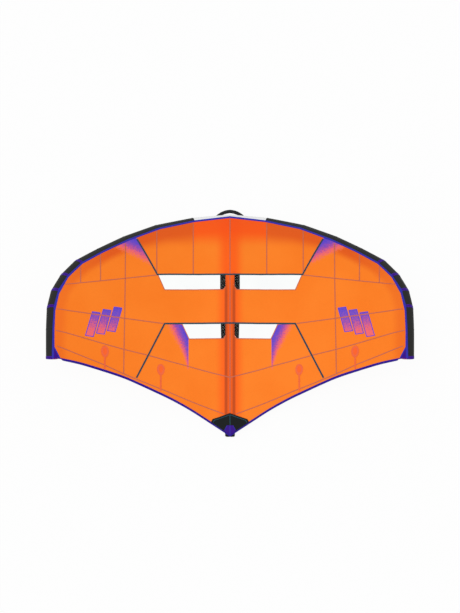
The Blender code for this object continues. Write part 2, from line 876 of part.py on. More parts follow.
def strut_bottom(row, between):
    """A frame under the strut: X towards the tail, Z down out of it."""
    front = strut_rings[row][bottom_corner]
    rear = strut_rings[row + 1][bottom_corner]
    along = (rear - front).normalized()
    return frame_of(front.lerp(rear, between), along, along.cross(Vector((-1, 0, 0))))


def block(name, low, high, frame, finish):
    """A box between two corners in a frame."""
    outline = [(low[0], low[1]), (high[0], low[1]), (high[0], high[1]), (low[0], high[1])]
    made = prism(name, outline, low[2], high[2])
    made.data.transform(frame)
    made.data.materials[0] = finish
    return made


def turned_across(frame, along, out):
    """A frame whose Z is the given frame's Y, at a point of its X and Z."""
    return frame @ Matrix.Translation((along, 0, out)) @ Matrix.Rotation(math.radians(-90), 4, "X")


# The inflation valve sits low on the rear of the tube, right of the strut. Its base is welded to
# the bladder, its plug turns in the base to deflate, and its cap is hinged on the plug.
valve_station_share = 0.60
rear_facet_index = 14
neck_radius = 0.0195
neck_wall = 0.0025
neck_inside = 0.0080
neck_outside = 0.0100
valve_flange_radius = 0.0300
valve_flange = 0.0012
valve_fillet = 0.0020
plug_rim_radius = 0.0225
plug_rim = 0.0035
throat_radius = 0.0090
cap_radius = 0.0165
cap_height = 0.0040
cap_edge_share = 0.7           # the cap's upright edge, of its height
cap_crown_share = 0.93         # the flat of the cap's top, of its radius
tab_root_share = 0.8
tab_height_share = 0.8
spigot_radius = 0.0078
spigot_depth = 0.0040
hinge_reach = 0.0265           # from the valve's axis to the cap's hinge
knuckle_radius = 0.0028
pin_radius = 0.0011
knuckle_half = 0.0040
ear_wall = 0.0025
hole_depth = 0.020

valve_frame = tube_frame(valve_station_share, rear_facet_index)
turned("valve_base", [
    (neck_radius - neck_wall, -neck_inside),
    (neck_radius, -neck_inside),
    (neck_radius, fit),
    (valve_flange_radius, fit),
    (valve_flange_radius, fit + valve_flange),
    (neck_radius + valve_fillet, fit + valve_flange),
    (neck_radius, fit + valve_flange + valve_fillet),
    (neck_radius, neck_outside),
    (neck_radius - neck_wall, neck_outside),
], valve_frame, grey_plastic)
valve_hole = cylinder("valve_hole", neck_radius + fit, -hole_depth, hole_depth, valve_frame,
                      grey_plastic)
cut(centre_sleeve, valve_hole)
cut(tube_bladder, valve_hole)

rim_low = neck_outside + fit
rim_high = rim_low + plug_rim
valve_plug = turn_on(turned("valve_plug", [
    (throat_radius, -neck_inside),
    (neck_radius - neck_wall - fit, -neck_inside),
    (neck_radius - neck_wall - fit, rim_low),
    (plug_rim_radius, rim_low),
    (plug_rim_radius, rim_high),
    (throat_radius, rim_high),
], valve_frame, black_plastic), valve_frame)
hinge_out = rim_high + fit + cap_height / 2
ears = []
for side in (-1, 1):
    inner = side * (knuckle_half + fit)
    outer = side * (knuckle_half + fit + ear_wall)
    ears.append(block(f"valve_ear_{side}",
                      (plug_rim_radius - ear_wall, min(inner, outer), rim_low),
                      (hinge_reach + knuckle_radius, max(inner, outer), hinge_out + knuckle_radius),
                      valve_frame, black_plastic))
hinge_frame = turned_across(valve_frame, hinge_reach, hinge_out)
pin_half = knuckle_half + fit + ear_wall / 2
ears.append(cylinder("valve_pin", pin_radius, -pin_half, pin_half, hinge_frame, black_plastic, 12))
join_to(valve_plug, ears)

cap_low = rim_high + fit
valve_cap = turn_on(turned("valve_cap", [
    (0, cap_low - spigot_depth),
    (spigot_radius, cap_low - spigot_depth),
    (spigot_radius, cap_low),
    (cap_radius, cap_low),
    (cap_radius, cap_low + cap_height * cap_edge_share),
    (cap_radius * cap_crown_share, cap_low + cap_height),
    (0, cap_low + cap_height),
], valve_frame, black_plastic), hinge_frame)
hold(valve_plug, valve_cap)
tab_inner = cap_radius * tab_root_share
tab_top = cap_low + cap_height * tab_height_share
cap_tab = block("valve_tab", (tab_inner, -knuckle_half, cap_low),
                (hinge_reach, knuckle_half, tab_top), valve_frame, black_plastic)
knuckle = cylinder("valve_knuckle", knuckle_radius, -knuckle_half, knuckle_half, hinge_frame,
                   black_plastic, 16)
join_to(valve_cap, [cap_tab, knuckle])
cut(valve_cap, cylinder("valve_pin_hole", pin_radius + fit, -pin_half, pin_half, hinge_frame,
                  black_plastic, 16))

# A hose lets air from the tube into the strut. A clip on it shuts it off.
hose_station_share = 0.62
hose_row_index = 2
hose_place_share = 0.45
strut_left_facet_index = 13
hose_radius = 0.0080
hose_wall = 0.0022
hose_sides = 12
hose_straight = 0.012
hose_inside = 0.0060
hose_swing = 0.055
hose_steps = 8
hose_flange_radius = 0.0180
hose_flange = 0.0012

tube_port = tube_frame(-hose_station_share, rear_facet_index)
strut_port = strut_frame(hose_row_index, hose_place_share, strut_left_facet_index)


def hose_point(part):
    """A point of the hose's curve between its two straight ends."""
    ends = (tube_port @ Vector((0, 0, hose_straight)),
            tube_port @ Vector((0, 0, hose_straight + hose_swing)),
            strut_port @ Vector((0, 0, hose_straight + hose_swing)),
            strut_port @ Vector((0, 0, hose_straight)))
    rest = 1 - part
    return (ends[0] * rest ** 3 + ends[1] * 3 * rest ** 2 * part
            + ends[2] * 3 * rest * part ** 2 + ends[3] * part ** 3)


def rings_along(path, radius_of, sides, first_out):
    """Round cross sections square to a path, without twist between them."""
    rings = []
    out = first_out
    for index, place in enumerate(path):
        before = path[max(index - 1, 0)]
        after = path[min(index + 1, len(path) - 1)]
        along = (after - before).normalized()
        out = (out - along * out.dot(along)).normalized()
        across = along.cross(out)
        ring = []
        for side in range(sides):
            angle = math.tau * side / sides
            wide, thick = radius_of(index)
            ring.append(place + out * thick * math.cos(angle) + across * wide * math.sin(angle))
        rings.append(ring)
    return rings


hose_path = [tube_port @ Vector((0, 0, -hose_inside))]
hose_path += [hose_point(step / hose_steps) for step in range(hose_steps + 1)]
hose_path.append(strut_port @ Vector((0, 0, -hose_inside)))
hose = loft("air_hose", rings_along(hose_path, lambda index: (hose_radius, hose_radius),
                                    hose_sides, up), black_plastic, capped=False)
thicken(hose, hose_wall, outward=False)
collars = []
for number, port in enumerate((tube_port, strut_port)):
    collars.append(turned(f"hose_collar_{number}", [
        (hose_radius - hose_wall / 2, fit),
        (hose_flange_radius, fit),
        (hose_flange_radius, fit + hose_flange),
        (hose_radius + hose_flange, fit + 2 * hose_flange),
        (hose_radius - hose_wall / 2, fit + 2 * hose_flange),
    ], port, black_plastic, 20))
    hole = cylinder(f"hose_hole_{number}", hose_radius + fit, -hole_depth, hole_depth, port,
                    black_plastic, 20)
    for wall in ((centre_sleeve, tube_bladder), (strut_sleeve, strut_bladder))[number]:
        cut(wall, hole)
join_to(hose, collars)

clip_length = 0.0160
clip_half = 0.0115
clip_bore_gap = 0.0008
clip_arm_half = 0.0050
clip_arm = 0.0040
clip_arm_length = 0.0300
clip_pin_radius = 0.0013
clip_knuckle_radius = 0.0034
clip_ear_wall = 0.0030
clip_ear_root_share = 0.7      # the ears start inside the body, at this share of its half height
clip_rounding_share = 0.2
clip_pin_out = clip_half + clip_knuckle_radius + 2 * fit
clip_pin_back = -clip_length / 2 + clip_knuckle_radius

hose_middle_share = 0.5
hose_near_share = 0.02
clip_along = hose_point(hose_middle_share + hose_near_share)
clip_along = (clip_along - hose_point(hose_middle_share - hose_near_share)).normalized()
clip_out = Vector((-1, 0, -1))
clip_out = (clip_out - clip_along * clip_out.dot(clip_along)).normalized()
clip_frame = frame_of(hose_point(hose_middle_share), clip_along, clip_out)
clip_body = block("clip_body", (-clip_length / 2, -clip_half, -clip_half),
                  (clip_length / 2, clip_half, clip_half), clip_frame, grey_plastic)
clip_round = clip_body.modifiers.new("rounding", "BEVEL")
clip_round.width = clip_half * clip_rounding_share
clip_round.segments = 2
hose_line = clip_frame @ Matrix.Rotation(math.radians(90), 4, "Y")
cut(clip_body, cylinder("clip_bore", hose_radius + clip_bore_gap, -clip_length, clip_length,
                        hose_line, grey_plastic, 20))
clip_hinge = turned_across(clip_frame, clip_pin_back, clip_pin_out)
ears = []
for side in (-1, 1):
    inner = side * (clip_arm_half + fit)
    outer = side * (clip_arm_half + fit + clip_ear_wall)
    ears.append(block(f"clip_ear_{side}",
                      (-clip_length / 2 + fit, min(inner, outer), clip_half * clip_ear_root_share),
                      (clip_pin_back + clip_knuckle_radius, max(inner, outer),
                       clip_pin_out + clip_knuckle_radius), clip_frame, grey_plastic))
clip_pin_half = clip_arm_half + fit + clip_ear_wall / 2
ears.append(cylinder("clip_pin", clip_pin_radius, -clip_pin_half, clip_pin_half, clip_hinge,
                     grey_plastic, 12))
join_to(clip_body, ears)
lever_low = clip_pin_out - clip_knuckle_radius / 2
clip_lever = turn_on(cylinder("clip_lever", clip_knuckle_radius, -clip_arm_half, clip_arm_half,
                              clip_hinge, black_plastic, 16), clip_hinge)
hold(clip_body, clip_lever)
arm = block("clip_arm", (clip_pin_back, -clip_arm_half, lever_low),
            (clip_pin_back + clip_arm_length, clip_arm_half, lever_low + clip_arm), clip_frame,
            black_plastic)
join_to(clip_lever, [arm])
cut(clip_lever, cylinder("clip_pin_hole", clip_pin_radius + fit, -2 * clip_arm_half,
                    2 * clip_arm_half, clip_hinge, black_plastic, 12))

# A zip under the tube, left of the strut, is where the bladder is put in.
zip_facet_index = 12
zip_station_share = 0.64
zip_length = 0.200
zip_tape_width = 0.026
zip_tape_wall = 0.0010
zip_ridge_width = 0.0050
zip_ridge_height = 0.0032
slider_width = 0.0120
slider_length = 0.0130
slider_wall = 0.0030
zip_stop = 0.0175              # from each end of the tape to the slider's middle
zip_travel = zip_length - 2 * zip_stop
pull_length = 0.024
pull_width = 0.0060
pull_wall = 0.0014

zip_frame = tube_frame(-zip_station_share, zip_facet_index)
half_tape = zip_tape_width / 2
half_ridge = zip_ridge_width / 2
tape_top = fit + zip_tape_wall
ridge_top = fit + zip_ridge_height
extruded("zip_tape", [
    (-half_tape, fit), (half_tape, fit), (half_tape, tape_top), (half_ridge, tape_top),
    (half_ridge, ridge_top), (-half_ridge, ridge_top), (-half_ridge, tape_top),
    (-half_tape, tape_top),
], zip_length, sideways(zip_frame), black_webbing)

half_slider = slider_width / 2
channel = half_ridge + fit
slider_place = zip_stop - zip_length / 2
slider_frame = zip_frame @ Matrix.Translation((slider_place, 0, 0))
zip_slider = turn_on(extruded("zip_slider", [
    (-half_slider, tape_top + fit), (-channel, tape_top + fit), (-channel, ridge_top + fit),
    (channel, ridge_top + fit), (channel, tape_top + fit), (half_slider, tape_top + fit),
    (half_slider, ridge_top + slider_wall), (-half_slider, ridge_top + slider_wall),
], slider_length, sideways(slider_frame), grey_plastic), slider_frame)
pull_low = ridge_top + slider_wall / 2
join_to(zip_slider, [block("zip_pull", (0, -pull_width / 2, pull_low),
                           (pull_length, pull_width / 2, pull_low + pull_wall), slider_frame,
                           grey_plastic)])

# Webbing loops: one on the nose for a leash, two under the strut for a harness line.
webbing = 0.0030
loop_webbing_width = 0.0200
loop_eye = 0.0170
loop_height = 0.0240
loop_foot = 0.0080
loop_bends = 7


def webbing_loop(name, frame):
    """An arch of webbing across a frame's X, sewn down by two short feet."""
    inner = loop_eye / 2
    outer = inner + webbing
    shoulder = loop_height - outer
    arch = []
    for step in range(loop_bends + 1):
        angle = math.pi * step / loop_bends
        arch.append((math.cos(angle), math.sin(angle)))
    outline = [(outer + loop_foot, fit), (outer + loop_foot, fit + webbing), (outer, fit + webbing)]
    outline += [(outer * x, shoulder + outer * z) for x, z in arch]
    outline += [(-outer, fit + webbing), (-outer - loop_foot, fit + webbing),
                (-outer - loop_foot, fit), (-inner, fit)]
    outline += [(inner * x, shoulder + inner * z) for x, z in reversed(arch)]
    outline += [(inner, fit)]
    extruded(name, outline, loop_webbing_width, frame, black_webbing)


leash_facet_index = 7
webbing_loop("leash_loop", sideways(tube_frame(0, leash_facet_index)))

# Two padded grips hang on webbing under the strut.
strap_width = 0.025
strap_foot = 0.030
grip_radius = 0.0165
grip_end_radius = 0.0150
grip_bore_gap = 0.0004
grip_bore = math.hypot(strap_width / 2, webbing / 2) + grip_bore_gap
grip_end_gap = 0.010
grip_barrel_share = 0.8        # how much of a grip's length has its full thickness
strap_slant = 0.030            # how far the webbing leans in from its foot to the grip's end
front_grip_drops = (0.078, 0.072)
rear_grip_drops = (0.078, 0.054)


def strut_grip(name, front, rear, drops):
    """A grip on its strap. Each end is a row of the strut and a share of the way on."""
    ends = []
    for (row, between), drop, back in zip((front, rear), drops, (1, -1)):
        frame = strut_bottom(row, between)
        surface = fit + webbing / 2
        foot = frame @ Vector((-back * strap_foot, 0, surface))
        bend = frame @ Vector((0, 0, surface))
        low = bend + Vector((0, -back * strap_slant, -drop))
        ends.append([(point.y, point.z) for point in (foot, bend, low)])
    path = ends[0] + ends[1][::-1]
    outline = ribbon_outline(path, webbing)
    rings = [[Vector((side * strap_width / 2, y, z)) for y, z in outline] for side in (-1, 1)]
    loft(f"{name}_strap", rings, black_webbing, smooth=False)
    start, end = (Vector((0, *point)) for point in (path[2], path[3]))
    along = (end - start).normalized()
    length = (end - start).length
    frame = frame_of(start, up.cross(along), along)
    half = (length - 2 * grip_end_gap) / 2
    middle = length / 2
    turned(name, [
        (grip_bore, middle - half),
        (grip_end_radius, middle - half),
        (grip_radius, middle - half * grip_barrel_share),
        (grip_radius, middle + half * grip_barrel_share),
        (grip_end_radius, middle + half),
        (grip_bore, middle + half),
    ], frame, grip_foam, 20)


strut_grip("front_grip", (2, 0.8), (6, 0.35), front_grip_drops)
strut_grip("rear_grip", (7, 0.4), (9, 0.75), rear_grip_drops)
webbing_loop("harness_loop_front", strut_bottom(1, 0.8))
webbing_loop("harness_loop_rear", strut_bottom(11, 0.3))

# The nose handle arches over the front of the tube, padded in its middle.
nose_facet_index = 5
nose_half_length = 0.128
nose_foot_share = 0.14
nose_foot_width = 0.038
nose_foot_wall = 0.0040
nose_power = 2.3
nose_steps = 22
nose_sides = 12


def nose_section(share):
    """The place, half width and half thickness of the handle at a share of its half length."""
    span = share * nose_half_length
    frame = tube_frame(span / seat_station_length, nose_facet_index)
    reach = min(1, abs(share) / (1 - nose_foot_share))
    rise = 1 - reach ** nose_power
    round_share = rise ** 0.5
    thick = nose_foot_wall / 2 + (nose_grip_radius - nose_foot_wall / 2) * round_share
    wide = nose_foot_width / 2 + (nose_grip_radius - nose_foot_width / 2) * round_share
    foot_height = 2 * fit + nose_foot_wall / 2
    height = foot_height + (nose_handle_height - foot_height) * rise
    front = tube_frame(0, nose_facet_index)
    return frame.translation + front.col[2].to_3d() * height, wide, thick


nose_shares = [2 * step / nose_steps - 1 for step in range(nose_steps + 1)]
nose_sections = [nose_section(share) for share in nose_shares]
nose_rings = rings_along([section[0] for section in nose_sections],
                         lambda index: nose_sections[index][1:], nose_sides,
                         tube_frame(-nose_half_length / seat_station_length,
                                    nose_facet_index).col[2].to_3d())
loft("nose_handle", nose_rings, black_webbing)
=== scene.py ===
import json
import math

import bmesh
import bpy
from mathutils import Matrix, Vector
from mathutils.bvhtree import BVHTree
from mathutils.geometry import delaunay_2d_cdt

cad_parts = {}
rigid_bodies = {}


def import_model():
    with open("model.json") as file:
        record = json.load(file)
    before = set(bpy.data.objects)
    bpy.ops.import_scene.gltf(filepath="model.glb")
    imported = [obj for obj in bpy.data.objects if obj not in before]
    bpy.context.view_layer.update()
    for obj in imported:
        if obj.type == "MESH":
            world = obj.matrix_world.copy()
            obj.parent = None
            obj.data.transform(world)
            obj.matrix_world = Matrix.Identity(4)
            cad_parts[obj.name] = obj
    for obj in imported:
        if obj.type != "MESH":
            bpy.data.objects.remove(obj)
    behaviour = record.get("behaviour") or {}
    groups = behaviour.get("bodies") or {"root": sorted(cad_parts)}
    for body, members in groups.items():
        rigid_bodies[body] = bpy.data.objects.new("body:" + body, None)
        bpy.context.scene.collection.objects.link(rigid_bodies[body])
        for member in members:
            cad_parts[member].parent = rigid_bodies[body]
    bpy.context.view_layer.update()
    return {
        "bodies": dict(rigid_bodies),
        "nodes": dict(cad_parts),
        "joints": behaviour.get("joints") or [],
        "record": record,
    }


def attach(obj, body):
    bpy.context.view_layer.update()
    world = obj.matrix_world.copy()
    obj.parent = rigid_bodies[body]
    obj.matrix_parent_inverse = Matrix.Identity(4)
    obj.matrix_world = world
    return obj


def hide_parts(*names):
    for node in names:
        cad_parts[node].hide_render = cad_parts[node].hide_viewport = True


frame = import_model()


# The stage: a plain pale floor under the wing, an even sky, one wide soft lamp from behind the
# camera, and the camera, which looks down on the wing from behind, 65 degrees above the floor.
floor_half_width = 40.0
floor_drop = 0.0005
floor_shade = 0.80
floor_glow = 0.95              # how much of the floor's look to the camera is plain white
sky_strength = 0.62
lamp_strength = 1.20
lamp_spread = 40               # degrees
lamp_azimuth = -24
lamp_elevation = 68
camera_distance = 25.0
camera_elevation = 65
camera_lens = 181.26
camera_target = Vector((0, 0.0779, 0.2))


def colour(red, green, blue):
    """A colour as a screen shows it, each part 0 to 255, made linear."""
    parts = []
    for value in (red, green, blue):
        share = value / 255
        parts.append(share / 12.92 if share <= 0.04045 else ((share + 0.055) / 1.055) ** 2.4)
    return (*parts, 1.0)


def add_node(tree, kind, inputs=None, **settings):
    """Adds a node. Each input takes a value or another node's output."""
    made = tree.nodes.new(kind)
    for name, value in settings.items():
        setattr(made, name, value)
    for name, value in (inputs or {}).items():
        if isinstance(value, bpy.types.NodeSocket):
            tree.links.new(value, made.inputs[name])
        else:
            made.inputs[name].default_value = value
    return made


def math_node(tree, operation, *values):
    inputs = dict(enumerate(values))
    return add_node(tree, "ShaderNodeMath", inputs, operation=operation).outputs[0]


def bare_ray(tree, camera_share=1.0):
    """1 for the rays that see the surroundings off gloss and through film, and a share of 1 for
    those that see them straight from the camera."""
    path = add_node(tree, "ShaderNodeLightPath").outputs
    seen = math_node(tree, "MULTIPLY", path["Is Camera Ray"], camera_share)
    seen = math_node(tree, "MAXIMUM", seen, path["Is Glossy Ray"])
    return math_node(tree, "MAXIMUM", seen, path["Is Transmission Ray"])


floor_mesh = bpy.data.meshes.new("floor")
floor_corners = [(x * floor_half_width, y * floor_half_width, -floor_drop)
                 for x, y in ((-1, -1), (1, -1), (1, 1), (-1, 1))]
floor_mesh.from_pydata(floor_corners, [], [(0, 1, 2, 3)])
floor = bpy.data.objects.new("floor", floor_mesh)
bpy.context.scene.collection.objects.link(floor)
floor_finish = bpy.data.materials.new("pale_floor")
floor_finish.use_nodes = True
floor_tree = floor_finish.node_tree
floor_tree.nodes.remove(floor_tree.nodes["Principled BSDF"])
matt = add_node(floor_tree, "ShaderNodeBsdfDiffuse",
                {"Color": (floor_shade, floor_shade, floor_shade, 1)})
glow = add_node(floor_tree, "ShaderNodeEmission", {"Color": (1, 1, 1, 1), "Strength": 1.0})
mixed = add_node(floor_tree, "ShaderNodeMixShader",
                 {0: bare_ray(floor_tree, floor_glow), 1: matt.outputs[0], 2: glow.outputs[0]})
floor_tree.links.new(mixed.outputs[0], floor_tree.nodes["Material Output"].inputs["Surface"])
floor_mesh.materials.append(floor_finish)

sky = bpy.data.worlds.new("sky")
sky.use_nodes = True
sky_tree = sky.node_tree
difference = math_node(sky_tree, "MULTIPLY", bare_ray(sky_tree), 1 - sky_strength)
strength = math_node(sky_tree, "ADD", difference, sky_strength)
background = sky_tree.nodes["Background"]
background.inputs["Color"].default_value = (1, 1, 1, 1)
sky_tree.links.new(strength, background.inputs["Strength"])
bpy.context.scene.world = sky


def direction(azimuth, elevation):
    """The unit vector towards a place in the sky. Azimuth 0 is behind the wing."""
    turn = math.radians(azimuth)
    rise = math.radians(elevation)
    return Vector((math.sin(turn) * math.cos(rise), -math.cos(turn) * math.cos(rise),
                   math.sin(rise)))


lamp = bpy.data.objects.new("lamp", bpy.data.lights.new("lamp", "SUN"))
lamp.data.energy = lamp_strength
lamp.data.angle = math.radians(lamp_spread)
lamp.rotation_euler = direction(lamp_azimuth, lamp_elevation).to_track_quat("Z", "Y").to_euler()
bpy.context.scene.collection.objects.link(lamp)

camera = bpy.data.objects.new("camera", bpy.data.cameras.new("camera"))
camera.data.lens = camera_lens
camera.data.clip_end = 4 * camera_distance
toward = direction(0, camera_elevation)
camera.location = camera_target + toward * camera_distance
camera.rotation_euler = toward.to_track_quat("Z", "Y").to_euler()
bpy.context.scene.collection.objects.link(camera)
bpy.context.scene.camera = camera
bpy.context.scene.view_settings.view_transform = "Standard"


# The leading edge: a tube of woven polyester sewn from straight, slightly conical lengths. Air
# holds it round. It draws in at each seam and puckers on the inner side of each bend.
half_spacing = 1.416           # between the middle and the end of the tube, along X
tube_sweep = 1.318
tube_axis_y = 0.8258
tube_radius = 0.115
tip_clearance = 0.392
rise_power = 1.2
end_slant = 0.47               # the tube's ends are cut on a slant, lower side foremost
casing_wall = 0.0012
casing_sides = 96
seam_gap = 0.0005
# Each seam: its share of the half spacing, of the sweep and of the middle radius, then how far in
# front of the tube's top the canopy is sewn on, in degrees.
tube_seams = (
    (0.0000, 0.0000, 1.000, 27),
    (0.2105, 0.0189, 0.974, 20),
    (0.4130, 0.0874, 0.913, 14),
    (0.5895, 0.1862, 0.843, 8),
    (0.7318, 0.2874, 0.783, 6),
    (0.8495, 0.3799, 0.730, 2),
    (0.9215, 0.4732, 0.670, 2),
    (0.9700, 0.5714, 0.609, 2),
    (0.9935, 0.6738, 0.539, -2),
    (0.9995, 0.8109, 0.478, -8),
    (1.0000, 1.0000, 0.417, -14),
)
last_seam = len(tube_seams) - 1
level_share = tube_seams[1][0]
up = Vector((0, 0, 1))
side_names = {1: "right", -1: "left"}


def angles_round(count):
    """Angles all the way round, in equal steps."""
    return [math.tau * step / count for step in range(count)]


casing_angles = angles_round(casing_sides)


def tube_seam(index):
    """A seam's middle, its radius and the angle at which the canopy is sewn on."""
    x_share, y_share, radius_share, turn = tube_seams[index]
    radius = radius_share * tube_radius
    rise_share = max(0, (x_share - level_share) / (1 - level_share)) ** rise_power
    middle = Vector((x_share * half_spacing, tube_axis_y - y_share * tube_sweep,
                     radius + tip_clearance * rise_share))
    return middle, radius, math.radians(turn)


def seam_axes(index, slant=0.0):
    """The directions along the tube, forward and up across it, in a seam's mitre plane."""
    here = tube_seam(index)[0]
    if index == 0:
        along = Vector((1, 0, 0))
    else:
        along = (here - tube_seam(index - 1)[0]).normalized()
        if index < last_seam:
            along += (tube_seam(index + 1)[0] - here).normalized()
    along.normalize()
    along = (along - up * slant).normalized()
    forward = up.cross(along).normalized()
    return along, forward, along.cross(forward) * math.hypot(1, slant)


square_frames = [seam_axes(index) for index in range(last_seam + 1)]
seam_frames = [*square_frames[:-1], seam_axes(last_seam, end_slant)]
seam_lengths = [(tube_seam(index + 1)[0] - tube_seam(index)[0]).length
                for index in range(last_seam)]


def radial(index, angle, frames=seam_frames):
    forward, upward = frames[index][1:]
    return upward * math.cos(angle) + forward * math.sin(angle)


def mirrored(point, side):
    return Vector((side * point.x, point.y, point.z))


def tube_point(station, angle, lift=0.0):
    """A point of the smooth tube. A station counts the seams from the middle, with its side."""
    place = min(abs(station), last_seam)
    low = min(int(place), last_seam - 1)
    ends = []
    for index in (low, low + 1):
        middle, radius = tube_seam(index)[:2]
        ends.append(middle + radial(index, angle) * (radius + lift))
    return mirrored(ends[0].lerp(ends[1], place - low), 1 if station >= 0 else -1)


def station_at(index, distance):
    """The station that lies a distance along the tube from a seam."""
    run = seam_lengths[index if distance > 0 else index - 1]
    return index + distance / run


draw_depth = 0.0016            # how far the casing is drawn in at a seam
draw_reach = 0.012
pucker_depth = 0.0030
pucker_reach = 0.050
pucker_start = 0.008
pucker_outside = 0.25          # how deep it puckers on the outside of a bend, by its inside
pucker_turn = 2.1              # the folds are turned by this much from seam to seam
pucker_waves = ((15, 0.6, 1.0), (23, 0.4, -1.7))    # folds round the tube, depth, turn


def pucker(station, angle):
    """How far the casing lies inside its smooth shape: deep beside a seam, on the bend's inside."""
    nearest = round(abs(station))
    away = abs(station) - nearest
    run = seam_lengths[min(int(abs(station)), last_seam - 1)]
    distance = abs(away) * run
    if nearest == 0:
        distance = run
    draw = draw_depth * math.exp(-distance / draw_reach)
    inner = pucker_outside + (1 - pucker_outside) * max(0.0, -math.sin(angle)) ** 2
    phase = pucker_turn * nearest
    wave = sum(depth * math.sin(folds * angle + turn * phase)
               for folds, depth, turn in pucker_waves)
    fade = math.exp(-distance / pucker_reach) * (1 - math.exp(-distance / pucker_start))
    return draw + pucker_depth * inner * fade * (0.5 + 0.5 * wave)


def cloth_mesh(name, rings, closed=False, caps=()):
    """Quads through rings of points, with a UV map that measures the cloth in metres. Caps close
    the first ring, 0, and the last, -1."""
    count = len(rings[0])
    middle = rings[len(rings) // 2]
    across = [0.0]
    for here, after in zip(middle, middle[1:] + middle[:1]):
        across.append(across[-1] + (after - here).length)
    centres = [sum(ring, Vector()) / count for ring in rings]
    lengthwise = [0.0]
    for here, after in zip(centres, centres[1:]):
        lengthwise.append(lengthwise[-1] + (after - here).length)
    faces = []
    places = []
    for row in range(len(rings) - 1):
        for column in range(count if closed else count - 1):
            after = (column + 1) % count
            first = row * count
            second = first + count
            faces.append((first + column, first + after, second + after, second + column))
            places += [(across[column], lengthwise[row]), (across[column + 1], lengthwise[row]),
                       (across[column + 1], lengthwise[row + 1]),
                       (across[column], lengthwise[row + 1])]
    for end in caps:
        start = 0 if end == 0 else count * (len(rings) - 1)
        faces.append(tuple(range(start, start + count)))
        places += [(point.x, point.z) for point in rings[end]]
    mesh = bpy.data.meshes.new(name)
    mesh.from_pydata([point for ring in rings for point in ring], [], faces)
    layer = mesh.uv_layers.new(name="cloth")
    for loop, place in zip(layer.data, places):
        loop.uv = place
    return mesh


def piece(name, mesh, finish, crease=40):
    """An object of its own, with faces outwards and edges sharper than the crease kept sharp."""
    shape = bmesh.new()
    shape.from_mesh(mesh)
    bmesh.ops.recalc_face_normals(shape, faces=shape.faces)
    shape.to_mesh(mesh)
    shape.free()
    return plain_piece(name, mesh, finish, crease)


def round_piece(name, rings, finish, crease=40, caps=(0, -1)):
    """A piece through closed rings of points, with capped ends."""
    return piece(name, cloth_mesh(name, rings, closed=True, caps=caps), finish, crease)


def smoothed(mesh, crease):
    mesh.shade_smooth()
    mesh.set_sharp_from_angle(angle=math.radians(crease))
    return mesh


def plain_piece(name, mesh, finish, crease=40):
    mesh.materials.clear()
    mesh.materials.append(finish)
    made = bpy.data.objects.new(name, smoothed(mesh, crease))
    bpy.context.scene.collection.objects.link(made)
    return made


def applied(made):
    """Turns a piece's modifiers into its mesh."""
    bpy.context.view_layer.update()
    evaluated = made.evaluated_get(bpy.context.evaluated_depsgraph_get())
    mesh = bpy.data.meshes.new_from_object(evaluated)
    mesh.name = made.name
    made.modifiers.clear()
    made.data = smoothed(mesh, 40)
    return made


def thickened(made, thickness, offset=1):
    wall = made.modifiers.new("wall", "SOLIDIFY")
    wall.thickness = thickness
    wall.offset = offset
    wall.use_even_offset = True
    return applied(made)


def settle(made, slot, *nodes):
    """A finished piece rides on the fixed body and takes the place of its CAD nodes."""
    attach(made, "root")
    if nodes:
        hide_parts(*nodes)
    return made


def new_finish(name, roughness, gloss=0.25):
    finish = bpy.data.materials.new(name)
    finish.use_nodes = True
    shader = finish.node_tree.nodes["Principled BSDF"]
    shader.inputs["Roughness"].default_value = roughness
    shader.inputs["Specular IOR Level"].default_value = gloss
    return finish, finish.node_tree, shader


def woven(tree, shader, pitch, strength, depth=0.0002, coordinates="UV"):
    """Bump of a plain weave. A wave texture of scale 1 repeats every tenth of a turn."""
    place = add_node(tree, "ShaderNodeTexCoord").outputs[coordinates]
    waves = []
    for axis in ("X", "Y"):
        wave = add_node(tree, "ShaderNodeTexWave",
                        {"Vector": place, "Scale": math.tau / (20 * pitch), "Distortion": 0.4,
                         "Detail": 1.0},
                        bands_direction=axis)
        waves.append(wave.outputs["Fac"])
    height = math_node(tree, "MAXIMUM", *waves)
    bump = add_node(tree, "ShaderNodeBump",
                    {"Height": height, "Strength": strength, "Distance": depth})
    tree.links.new(bump.outputs[0], shader.inputs["Normal"])


def mix_colour(tree, factor, below, above):
    return add_node(tree, "ShaderNodeMix", {0: factor, 6: below, 7: above},
                    data_type="RGBA").outputs[2]


def noise_node(tree, scale, detail):
    """Noise that is fixed to the object, 0 to 1."""
    place = add_node(tree, "ShaderNodeTexCoord").outputs["Object"]
    return add_node(tree, "ShaderNodeTexNoise",
                    {"Vector": place, "Scale": scale, "Detail": detail}).outputs[0]


def mottled(tree, shader, dark, light, scale):
    """A base colour that wanders between two shades, given as a screen shows them."""
    shade = mix_colour(tree, noise_node(tree, scale, 4.0), colour(*dark), colour(*light))
    tree.links.new(shade, shader.inputs["Base Color"])


def cloth_finish(name, dark, light, roughness=0.6, pitch=0.0012, bump=0.5, scale=9.0,
                 coordinates="UV", gloss=0.25):
    finish, tree, shader = new_finish(name, roughness, gloss)
    woven(tree, shader, pitch, bump, coordinates=coordinates)
    mottled(tree, shader, dark, light, scale)
    return finish


white_casing = cloth_finish("white_casing", (248, 249, 250), (255, 255, 255))
charcoal_casing = cloth_finish("charcoal_casing", (21, 21, 20), (31, 31, 29), 0.7, bump=0.3)
near_seam = (0.0, 0.004, 0.010, 0.018, 0.030, 0.045, 0.065, 0.090)


def frame_at(origin, along, out):
    """A frame on a surface: X along a direction, Z out of the surface."""
    across = out.cross(along).normalized()
    turn = Matrix((across.cross(out), across, out)).transposed().to_4x4()
    return Matrix.Translation(origin) @ turn


# Fittings are welded or sewn on where the casing is held flat. Each seat is given by its station
# and by its place round the tube, counted in twentieths of a turn.
seat_turns = 20
near_share = 0.1


